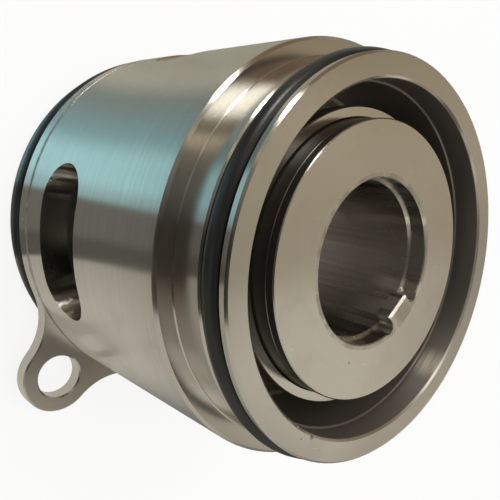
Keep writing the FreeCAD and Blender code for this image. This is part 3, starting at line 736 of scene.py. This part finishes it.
# %% From a grid of points to a piece
SAME_SPOT = 1e-7


def grid_faces(rows, columns, closed_rows=False):
    """Quads of a grid whose columns run round and close; rows close if told to."""
    row = np.arange(rows if closed_rows else rows - 1)[:, None]
    column = np.arange(columns)[None, :]
    next_row = (row + 1) % rows
    next_column = (column + 1) % columns
    corners = [
        row * columns + column,
        row * columns + next_column,
        next_row * columns + next_column,
        next_row * columns + column,
    ]
    return np.stack(corners, axis=-1).reshape(-1, 4)


def signed_volume(points, quads):
    """Sum of the tetrahedra from the origin to each half quad; positive if outward."""
    halves = np.concatenate([quads[:, [0, 1, 2]], quads[:, [0, 2, 3]]])
    a, b, c = (points[halves[:, side]] for side in range(3))
    return np.einsum("ij,ij->i", a, np.cross(b, c)).sum() / 6


def close_poles(mesh):
    """Merge points that lie on one spot, so that a row of radius 0 is one point."""
    work = bmesh.new()
    work.from_mesh(mesh)
    bmesh.ops.remove_doubles(work, verts=work.verts, dist=SAME_SPOT)
    work.to_mesh(mesh)
    work.free()


def make_piece(name, grids, finish, body, closed_rows=False):
    """Join grids of points, each (rows, columns, 3), into one piece on a body."""
    points, quads, start = [], [], 0
    for grid in grids:
        rows, columns = grid.shape[:2]
        flat = grid.reshape(-1, 3)
        faces = grid_faces(rows, columns, closed_rows)
        if signed_volume(flat, faces) < 0:
            faces = faces[:, ::-1]
        points.append(flat)
        quads.append(faces + start)
        start += len(flat)
    mesh = bpy.data.meshes.new(name)
    mesh.from_pydata(np.concatenate(points), [], np.concatenate(quads))
    close_poles(mesh)
    mesh.shade_smooth()
    piece = bpy.data.objects.new(name, mesh)
    bpy.context.scene.collection.objects.link(piece)
    dress(piece, finish)
    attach(piece, body)
    print("made", name, "with", len(mesh.polygons), "faces")
    return piece


print("a grid of 3 by 4 points has", len(grid_faces(3, 4)), "faces")

# %% [markdown]
# ## Round section rings with their mould line
#
# A rubber ring comes out of a mould in two halves, and a fine line of flash stays
# where they met, round the outside and round the inside. The two large rings show,
# so they get that line. The surface is a torus whose section bulges a little in
# two narrow places.

# %% Points evenly round a circle, and the two outer rubber rings
FLASH = 0.05 * MM
FLASH_WIDTH = 0.07


def full_circle(count):
    """Angles from 0 to just before a full turn, in even steps."""
    return np.linspace(0, 2 * np.pi, count, endpoint=False)


def ring_with_flash(inner, section, middle_z):
    """Torus whose section has the radius r + flash * exp(-(sin a / width) ** 2)."""
    a = full_circle(56)[:, None]
    round_axis = full_circle(180)[None, :]
    r = section / 2 + FLASH * np.exp(-(np.sin(a) / FLASH_WIDTH) ** 2)
    away = inner + section / 2 + r * np.cos(a)
    z = middle_z + r * np.sin(a) + 0 * round_axis
    return np.stack([away * np.cos(round_axis), away * np.sin(round_axis), z], axis=-1)


for name in ("front_o_ring", "rear_o_ring"):
    low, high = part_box(name)
    section = high.z - low.z
    inner = high.y - section
    grid = ring_with_flash(inner, section, (high.z + low.z) / 2)
    ring = make_piece(name + "_moulded", [grid], rubber, "barrel", closed_rows=True)
    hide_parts(name)

# %% [markdown]
# ## The coil spring
#
# The coil spring presses the rear ring on its seat. CAD has it as a ten sided wire.
# Here the wire is round, its end turns lie flat, and both ends are ground flat so
# that the spring stands square. The wire's centre follows a helix whose height is
# a smooth step of the angle. Grinding is a clip of the height at both ends.


def squeeze(spring):
    """Give a spring its own copy of its mesh."""
    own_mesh(spring)


# %% A spring with closed and ground ends
WIRE_R = 0.9 * MM
COIL_TURNS = 3.0
DEAD_TURN = 0.55
GROUND = 0.8
SPRING_GAP = 0.02 * MM


def coil_points(coil_r, low_z, high_z):
    """Sweep a circle along (R cos t, R sin t, h(t)), with h flat in the dead turns.

    Between them h goes from 0 to 1 as u + 0.06 sin(2 pi u). The wire's centre stays
    0.8 of its radius from both ends, so that grinding takes a fifth off. The wire
    ends in a point at each end of the sweep, which closes the surface.
    """
    t = np.linspace(0, COIL_TURNS, 145)[:, None]
    rise = np.clip((t - DEAD_TURN) / (COIL_TURNS - 2 * DEAD_TURN), 0, 1)
    rise = rise + 0.06 * np.sin(2 * np.pi * rise)
    centre_z = low_z + WIRE_R * GROUND + (high_z - low_z - 2 * GROUND * WIRE_R) * rise
    angle = 2 * np.pi * t
    side = full_circle(20)[None, :]
    wire = np.full((len(t), 1), WIRE_R)
    wire[[0, -1]] = 0
    away = coil_r + wire * np.cos(side)
    z = np.clip(centre_z + wire * np.sin(side), low_z, high_z)
    return np.stack([away * np.cos(angle), away * np.sin(angle), z], axis=-1)


coil_low = top("rear_carrier") + SPRING_GAP
coil_high = bottom("drive_collar") - SPRING_GAP
coil_grid = coil_points(outer_radius("coil_spring") - WIRE_R, coil_low, coil_high)
spring = make_piece("coil_spring_ground", [coil_grid], spring_steel, "rotor")
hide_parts("coil_spring")
squeeze(spring)

# %% [markdown]
# ## The wave spring
#
# The wave spring is a flat ring bent in four waves. Its height is a cosine of four
# times the angle, and its section is a thin rectangle with rounded edges, which a
# superellipse gives without any corner cases.

# %% A flat ring in four waves
WAVES = 4
WAVE_WIDTH = 3.8 * MM
WAVE_THICKNESS = 0.5 * MM
BLUNTNESS = 0.28


def wave_points(inner, outer, low_z, high_z):
    """Carry a superellipse |x|^n + |z|^n = 1, n = 2 / bluntness, along cos(4 t)."""
    t = full_circle(192)[None, :]
    side = full_circle(28)[:, None]
    flat = np.sign(np.cos(side)) * np.abs(np.cos(side)) ** BLUNTNESS
    tall = np.sign(np.sin(side)) * np.abs(np.sin(side)) ** BLUNTNESS
    away = (inner + outer) / 2 + (outer - inner) / 2 * flat
    swing = (high_z - low_z - WAVE_THICKNESS) / 2
    z = (low_z + high_z) / 2 + swing * np.cos(WAVES * t) + WAVE_THICKNESS / 2 * tall
    return np.stack([away * np.cos(t), away * np.sin(t), z], axis=-1)


low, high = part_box("wave_spring")
wave = make_piece(
    "wave_spring_rounded",
    [wave_points(high.y - WAVE_WIDTH, high.y, low.z, high.z)],
    spring_steel,
    "rotor",
    closed_rows=True,
)
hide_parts("wave_spring")
squeeze(wave)

# %% [markdown]
# ## Screws with threads
#
# CAD leaves the threads off, because they would weigh it down with thousands of
# faces. Here a screw is one grid again: each row is a height, each column an angle,
# and the radius depends on both. A thread is a triangle wave of the height divided
# by the pitch, minus the turns made so far. A hexagon socket is the radius of a
# hexagon in that direction, and a knurled head is a ripple on a circle.

# %% The radius of a thread, a hexagon and a knurl
SIDES = 72
KNURL_DEPTH = 0.12 * MM
RIDGES = 24
around = full_circle(SIDES)[None, :]


def hexagon_r(flats):
    """Distance to a hexagon's side: half the flats over cos of the angle to its middle."""
    off = np.mod(around, np.pi / 3) - np.pi / 6
    return flats / 2 / np.cos(off)


def knurl_r(radius):
    """A circle with rounded ridges: radius - depth * |sin(ridges t / 2)|."""
    return radius - KNURL_DEPTH * np.abs(np.sin(RIDGES * around / 2))


def thread_r(z, major, depth, pitch):
    """Triangle wave between the major radius and the root, one pitch a turn."""
    turns = z / pitch - around / (2 * np.pi)
    return major - depth * (1 - np.abs(2 * np.mod(turns, 1) - 1))


def screw_grid(rows):
    """Stack (radius, height) rows into a grid; a radius may be a number or a row."""
    radius = np.concatenate([np.broadcast_to(r, (1, SIDES)) for r, z in rows])
    height = np.array([z for r, z in rows])[:, None]
    x = radius * np.cos(around)
    y = radius * np.sin(around)
    return np.stack([x, y, np.broadcast_to(height, x.shape)], axis=-1)


def thread_rows(start, end, major, depth, pitch, steps=6):
    """Rows of a thread, with the ends run out to the root over one pitch."""
    heights = np.linspace(start, end, int((end - start) / pitch * steps) + 1)
    fade = np.clip(np.minimum(heights - start, end - heights) / pitch, 0, 1)
    root = major - depth
    return [(root + (thread_r(z, major, depth, pitch) - root) * f, z) for z, f in zip(heights, fade)]


print("a screw has", SIDES, "sides, a knurled head", RIDGES, "ridges")

# %% The four screws of the rear cover
SCREW_HEAD_R = 3.5 * MM
SCREW_HEAD_LENGTH = 4 * MM
SHANK_LENGTH = 16 * MM


def cover_screw(head_low):
    """Socket head screw: rows of (radius, height) from the socket's floor to the tip.

    They go up the socket's wall, over the knurled head, and down the neck, the M4
    thread and the chamfered tip. The head is at the rear, so its height is low.
    """
    head_top = head_low + SCREW_HEAD_LENGTH
    tip = head_top + SHANK_LENGTH
    rows = [(0.0, head_low + 2.5 * MM), (hexagon_r(2.9 * MM), head_low + 2.0 * MM)]
    rows += [(hexagon_r(3.0 * MM), head_low + 0.2 * MM), (1.95 * MM, head_low)]
    rows += [(3.05 * MM, head_low), (3.25 * MM, head_low + 0.12 * MM)]
    rows += [(3.38 * MM, head_low + 0.4 * MM), (knurl_r(SCREW_HEAD_R), head_low + 0.55 * MM)]
    rows += [(knurl_r(SCREW_HEAD_R), head_top - 0.3 * MM), (3.3 * MM, head_top)]
    rows += [(2.2 * MM, head_top), (1.75 * MM, head_top + 0.2 * MM)]
    rows += thread_rows(head_top + 1.5 * MM, tip - 0.5 * MM, 2.0 * MM, 0.42 * MM, 0.7 * MM)
    rows += [(1.2 * MM, tip), (0.0, tip)]
    return screw_grid(rows)


def moved_to(grid, x, y, degrees):
    """Shift a grid from the axis to (x, y), then turn it round the axis."""
    a = math.radians(degrees)
    turn = np.array([[math.cos(a), math.sin(a), 0], [-math.sin(a), math.cos(a), 0], [0, 0, 1]])
    return (grid + np.array([x, y, 0.0])) @ turn


low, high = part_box("cover_screws")
screw = cover_screw(low.z)
screws = [moved_to(screw, high.x - SCREW_HEAD_R, 0.0, quarter * 90) for quarter in range(4)]
cover_screws = make_piece("cover_screws_threaded", screws, screw_steel, "barrel")
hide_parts("cover_screws")

# %% The three set screws of the drive collar
SET_LENGTH = 8 * MM
POINT_R = 20.55 * MM


def set_screw():
    """Headless M5 screw with a hexagon socket above and a cup point below."""
    rows = [(0.0, SET_LENGTH - 2.9 * MM), (hexagon_r(2.45 * MM), SET_LENGTH - 2.5 * MM)]
    rows += [(hexagon_r(2.5 * MM), SET_LENGTH - 0.15 * MM), (1.75 * MM, SET_LENGTH)]
    rows += thread_rows(0.5 * MM, SET_LENGTH - 0.1 * MM, 2.5 * MM, 0.48 * MM, 0.8 * MM)[::-1]
    rows += [(1.35 * MM, 0.0), (1.2 * MM, 0.0), (0.0, 0.6 * MM)]
    return screw_grid(rows)


def laid_on(grid, inner, z, degrees):
    """Lay a grid's axis along X from the inner radius, at height z, then turn it."""
    laid = np.stack([grid[..., 2] + inner, -grid[..., 1], grid[..., 0] + z], axis=-1)
    return moved_to(laid, 0.0, 0.0, degrees)


middle_z = (bottom("drive_collar") + top("drive_collar")) / 2
set_grids = [laid_on(set_screw(), POINT_R, middle_z, degrees) for degrees in (60, 180, 300)]
set_screws = make_piece("set_screws_threaded", set_grids, screw_steel, "rotor")
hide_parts("set_screws")

# %% [markdown]
# ## The floor and the room
#
# The seal stands on a plain white floor. The lamps stay weak enough for the steel
# to keep its tones, so lamplight alone would leave the floor grey. The camera, and
# rays that bounce off shiny metal, therefore see the floor with a glow of its own
# mixed in, and it still keeps the seal's soft shadow. The room round it is made the
# same way: the camera sees white, while the light that it gives is a weaker grey.

# %% White floor
FLOOR_GLOW = 0.86
FLOOR_HALF = 4.0
FLOOR_GAP = 0.02 * MM


def seen_directly(finish):
    """1 for camera, glossy and transmission rays, 0 for the light that falls on things."""
    kinds = ("Is Camera Ray", "Is Glossy Ray", "Is Transmission Ray")
    camera_ray, glossy_ray, through_ray = finish.node("LightPath", output=kinds)
    return camera_ray.larger(glossy_ray).larger(through_ray)


def floor_finish():
    """Matt white paper, mixed with a white glow where it is seen or mirrored."""
    floor = Finish("white_floor", Base_Color=(0.86, 0.86, 0.85), Roughness=0.7)
    paper = floor.noise(floor.place, scale=6.0, detail=3.0)
    paler = floor.mix(paper, (0.86, 0.86, 0.855), (0.88, 0.88, 0.875))
    white = (1.0, 1.0, 1.0)
    matt = floor.node("BsdfDiffuse", {}, {0: paler}, output="BSDF")
    glow = floor.node("Emission", {}, {0: white, 1: 1.0}, output="Emission")
    lifted = floor.node("MixShader", {}, {0: FLOOR_GLOW, 1: matt, 2: glow}, output="Shader")
    choice = {0: seen_directly(floor), 1: matt, 2: lifted}
    shown = floor.node("MixShader", {}, choice, output="Shader")
    floor.feed(floor.tree.nodes["Material Output"].inputs["Surface"], shown)
    return floor


def stage_piece(name, points, faces, finish):
    """A mesh that belongs to the studio and not to the seal."""
    mesh = bpy.data.meshes.new(name)
    mesh.from_pydata(points, [], faces)
    mesh.shade_smooth()
    piece = bpy.data.objects.new(name, mesh)
    bpy.context.scene.collection.objects.link(piece)
    dress(piece, finish)
    return piece


corners = FLOOR_HALF * np.array([(-1.0, -1.0, 0.0), (1.0, -1.0, 0.0), (1.0, 1.0, 0.0), (-1.0, 1.0, 0.0)])
corners[:, 2] = floor_z - FLOOR_GAP
stage_piece("floor", corners, np.array([[0, 1, 2, 3]]), floor_finish())
print("floor at", round(floor_z, 5))

# %% White surroundings
ROOM_LIGHT = (0.42, 0.41, 0.39, 1.0)
ROOM_SEEN = (1.0, 1.0, 1.0, 1.0)
world = bpy.data.worlds.new("pale_room")
bpy.context.scene.world = world
world.use_nodes = True
room = world.node_tree
path = room.nodes.new("ShaderNodeLightPath")
shade = room.nodes.new("ShaderNodeMix")
shade.data_type = "RGBA"
shade.inputs[6].default_value = ROOM_LIGHT
shade.inputs[7].default_value = ROOM_SEEN
room.links.new(path.outputs["Is Camera Ray"], shade.inputs[0])
room.links.new(shade.outputs[2], room.nodes["Background"].inputs["Color"])
print("room light", ROOM_LIGHT[:3])

# %% [markdown]
# ## What the steel mirrors
#
# Polished steel looks like whatever stands around it. Two studio pieces stand in for
# a warm brown room with a bright window and a teal wall: a round card on the floor in
# coloured sectors, which the barrel mirrors, and a dome overhead, which the flat
# faces and chamfers mirror. Only reflections see them: they cast no shadow, give no
# light and hide nothing.

# %% Studio pieces that only reflections see
LEAN_FROM = 75 * MM
LEAN_TO = 95 * MM


def glowing(name):
    """A finish that only glows, so that its colour shows as it is written.

    It isn't sampled as a lamp, because only reflections see it.
    """
    glow = Finish(name, Base_Color=(0.0, 0.0, 0.0), Roughness=1.0, Specular_IOR_Level=0.0)
    glow.set(Emission_Strength=1.0)
    glow.material.cycles.emission_sampling = "NONE"
    return glow


def only_mirrored(piece):
    """Hide a piece from all rays but those that bounce off something shiny."""
    piece.visible_camera = False
    piece.visible_diffuse = False
    piece.visible_transmission = False
    piece.visible_shadow = False


def by_angle(finish, start, edges, narrow=False):
    """Colours by the angle round the axis; a slanted edge leans as the radius grows.

    It leans from 75 mm off the axis outwards, and stops at 95 mm if narrow is set.
    """
    degrees = finish.y.angle(finish.x) * (180 / math.pi)
    reach = finish.radius.smaller(LEAN_TO) if narrow else finish.radius
    outwards = reach - LEAN_FROM
    colour = finish.mix(0.0, start, start)
    for edge, soft, after, slant in edges:
        seen = degrees + outwards * slant if slant else degrees
        colour = finish.mix(seen.step(edge - soft, edge + soft), colour, after)
    return colour


print("edges lean from", LEAN_FROM, "m off the axis")

# %% The card on the floor
# Each edge: degrees round the axis, how soft, what comes after, lean in degrees per metre.
CARD_START = (0.40, 0.385, 0.305)
CARD_EDGES = [
    (-128, 9, (0.505, 0.49, 0.395), 300),
    (-114, 7, (0.25, 0.30, 0.275), 300),
    (-101, 7, (0.26, 0.38, 0.39), 250),
    (-92, 7, (0.29, 0.50, 0.54), 250),
    (-83, 6, (0.50, 0.86, 0.92), 150),
    (-65, 4, (0.39, 0.58, 0.605), 0),
    (-60, 1.5, (0.18, 0.178, 0.155), 0),
    (-44, 2, (0.115, 0.112, 0.098), 0),
    (-34.5, 0.7, (0.49, 0.465, 0.395), 0),
    (-24, 12, (0.60, 0.58, 0.50), 0),
    (22, 14, (0.42, 0.40, 0.36), -260),
    (34, 8, (0.24, 0.235, 0.22), -260),
    (75, 22, (0.40, 0.37, 0.31), 0),
    (106, 7, (0.60, 0.58, 0.52), 0),
    (121, 5, (0.23, 0.215, 0.185), 0),
    (134, 8, (0.34, 0.31, 0.26), 0),
    (166, 12, CARD_START, 0),
]
UNDER = (0.06, 0.054, 0.046)
DEEP_TEAL = (0.14, 0.19, 0.185)
BORE_GREYS = ((0.32, 0.30, 0.28), (0.78, 0.755, 0.71))
CARD_R = 1.45


def card_finish():
    """Sectors of colour, dark under the seal, with a streaked grey disc under the bore.

    From 100 mm off the axis outwards it is darker, and from 115 mm less so, but not
    at angles below -102 degrees. From 115 mm outwards it is deep teal between -113
    and -90 degrees.
    """
    card = glowing("coloured_card")
    colour = by_angle(card, CARD_START, CARD_EDGES, narrow=True)
    degrees = card.y.angle(card.x) * (180 / math.pi)
    far_out = card.radius.step(112 * MM, 118 * MM)
    band = card.radius.step(97 * MM, 103 * MM) * (1 - far_out * 0.6) * degrees.step(-108, -96)
    colour = card.mix(band * 0.62, colour, UNDER)
    teal_side = degrees.step(-118, -108) * degrees.step(-87, -92)
    colour = card.mix(far_out * teal_side, colour, DEEP_TEAL)
    colour = card.mix(card.radius.step(47 * MM, 46 * MM), colour, UNDER)
    way = card.vector(card.x / card.radius, card.y / card.radius, 0.0)
    streak = card.noise(way, scale=2.2, detail=3.0)
    grey = card.mix(streak.step(0.35, 0.65), *BORE_GREYS)
    colour = card.mix(card.radius.step(24 * MM, 22 * MM), colour, grey)
    cloud = card.noise(card.place, scale=26.0, detail=2.0)
    dimmed = card.mix(cloud.step(0.35, 0.7) * 0.12, colour, UNDER)
    return card.set(Emission_Color=dimmed)


turn = full_circle(128)
circle = np.stack([np.cos(turn), np.sin(turn), 0 * turn], axis=-1)
card_points = np.concatenate([circle * MM, circle * CARD_R])
card_points[:, 2] = floor_z + 0.05 * MM
card = stage_piece("floor_card", card_points, grid_faces(2, len(turn)), card_finish())
only_mirrored(card)
print("floor card with", len(CARD_EDGES), "edges")

# %% The dome overhead
DOME_R = 1.5
DOME_ROWS = 33
OVERHEAD = (0.085, 0.075, 0.062)
SKYLIGHT = (0.78, 0.76, 0.70)
DOME_START = (0.205, 0.138, 0.092)
DOME_EDGES = [
    (-166, 5, (0.225, 0.155, 0.105), 0),
    (-138, 7, (0.38, 0.335, 0.26), 0),
    (-108, 6, (0.29, 0.28, 0.235), 0),
    (-95, 6, (0.18, 0.18, 0.155), 0),
    (-74, 8, (0.11, 0.108, 0.10), 0),
    (-62, 6, (0.052, 0.045, 0.038), 0),
    (-19, 4, (0.17, 0.14, 0.11), 0),
    (-10, 7, (0.27, 0.245, 0.21), 0),
    (12, 8, (0.45, 0.43, 0.37), 0),
    (28, 8, (0.56, 0.54, 0.47), 0),
    (52, 10, (0.42, 0.39, 0.33), 0),
    (80, 10, (0.33, 0.30, 0.245), 0),
    (95, 2, (0.68, 0.635, 0.54), 0),
    (81.4, 1.6, (0.455, 0.40, 0.30), -35),
    (141, 4, (0.40, 0.33, 0.226), 0),
    (151, 8, (0.255, 0.20, 0.14), 0),
    (171, 7, DOME_START, 0),
]
# Each patch: azimuth, elevation, inner and outer half width in degrees, colour.
DOME_PATCHES = [
    (10, 12, 26, 40, (0.56, 0.52, 0.44)),
    (-36, 14, 14, 24, (0.36, 0.34, 0.28)),
    (66, 35, 8, 14, (0.12, 0.10, 0.08)),
    (41, 41, 4, 8, (0.20, 0.175, 0.13)),
    (60, 52, 7, 10, (0.90, 0.88, 0.79)),
    (114, 22, 8, 14, (0.42, 0.36, 0.285)),
    (-25, 35, 9, 12, (0.036, 0.029, 0.022)),
    (-44, 36, 8, 12, (0.020, 0.018, 0.015)),
    (126, 22, 3, 7, (0.27, 0.22, 0.165)),
    (139, 46, 2, 5, (0.58, 0.51, 0.39)),
    (34, 60, 5, 10, (0.78, 0.77, 0.72)),
    (97, 60, 5, 9, (0.09, 0.08, 0.065)),
    (119, 52, 3, 7, (0.37, 0.34, 0.25)),
    (-127, 26, 6, 8, (2.0, 1.95, 1.8)),
    (-126, 34, 5, 7, (1.8, 1.8, 1.75)),
    (-123, 15, 5, 8, (1.8, 1.75, 1.6)),
    (-125, 23, 4, 7, (30.0, 29.3, 27.5)),
    (-113, 20, 3, 5, (1.05, 1.04, 0.88)),
    (-124, 52, 3, 6, (0.24, 0.20, 0.135)),
    (-146, 51, 6, 11, (2.6, 2.6, 2.4)),
    (-114, 56.5, 2.5, 4.5, (1.35, 1.19, 0.92)),
    (-99, 33, 3, 6, (0.60, 0.50, 0.33)),
    (15, 52, 5, 9, (0.31, 0.295, 0.25)),
]


def dome_finish():
    """Colours by azimuth, dark above and pale at the very top, with round patches.

    A patch is 1 where the cosine between its direction and the place is near 1.
    """
    dome = glowing("warm_dome")
    height = dome.z / DOME_R
    colour = by_angle(dome, DOME_START, DOME_EDGES)
    colour = dome.mix(height.step(0.86, 0.94), colour, OVERHEAD)
    colour = dome.mix(height.step(0.966, 0.982), colour, SKYLIGHT)
    for azimuth, elevation, inner, outer, patch in DOME_PATCHES:
        a, e = math.radians(azimuth), math.radians(elevation)
        towards = (math.cos(a) * math.cos(e), math.sin(a) * math.cos(e), math.sin(e))
        ends = {0: dome.place, 1: towards}
        along = dome.node("VectorMath", {"operation": "DOT_PRODUCT"}, ends, "Value")
        fades_from = DOME_R * math.cos(math.radians(outer))
        full_from = DOME_R * math.cos(math.radians(inner))
        colour = dome.mix(along.step(fades_from, full_from), colour, patch)
    return dome.set(Emission_Color=colour)


rise = np.linspace(0, np.pi / 2, DOME_ROWS)[:, None, None]
dome_points = DOME_R * (circle * np.cos(rise) + np.array([0, 0, 1.0]) * np.sin(rise))
dome_faces = grid_faces(DOME_ROWS, len(turn))
dome = stage_piece("dome", dome_points.reshape(-1, 3), dome_faces, dome_finish())
only_mirrored(dome)
print("dome with", len(DOME_PATCHES), "patches")

# %% [markdown]
# ## Lamps and camera
#
# One large soft lamp overhead and a weaker one at the side light the rubber and
# draw a soft shadow on the floor. The camera stands where the photograph was taken
# from. Its place and its three axes come from fitting the circles of the seal's
# front and rear ends in the photograph.

# %% Soft lamps
LAMP_COLOUR = (1.0, 0.975, 0.94)
LAMP_AIM = Vector((0, 0, 0.03))


def soft_lamp(name, place, size, watts):
    """A square area lamp that looks at the middle of the seal; steel doesn't mirror it."""
    light = bpy.data.lights.new(name, "AREA")
    light.size = size
    light.energy = watts
    light.color = LAMP_COLOUR
    lamp = bpy.data.objects.new(name, light)
    bpy.context.scene.collection.objects.link(lamp)
    lamp.location = place
    lamp.visible_glossy = False
    aim = LAMP_AIM - Vector(place)
    lamp.rotation_euler = aim.to_track_quat("-Z", "Y").to_euler()
    print("lamp", name, "of", watts, "watts")


soft_lamp("overhead", (-0.15, -0.25, 1.1), 0.9, 9.0)
soft_lamp("side", (-0.9, -0.5, 0.5), 0.5, 2.5)

# %% The camera
RIGHT = (-0.55331, 0.51210, 0.65695)
DOWN = (0.76435, 0.62561, 0.15610)
AHEAD = (-0.33105, 0.58851, -0.73760)
CAMERA_PLACE = (0.05614, -0.09237, 0.15566)
SENSOR_MM = 36.0
LENS_MM = 43.80
camera_data = bpy.data.cameras.new("camera")
camera_data.sensor_width = SENSOR_MM
camera_data.lens = LENS_MM
camera_data.clip_start = 0.01
camera = bpy.data.objects.new("camera", camera_data)
bpy.context.scene.collection.objects.link(camera)
whole = np.eye(4)
whole[:3, :3] = np.array([RIGHT, np.negative(DOWN), np.negative(AHEAD)]).T
whole[:3, 3] = CAMERA_PLACE
camera.matrix_world = Matrix(whole)
bpy.context.scene.camera = camera
bpy.context.scene.view_settings.view_transform = "Standard"
print("camera at", CAMERA_PLACE)
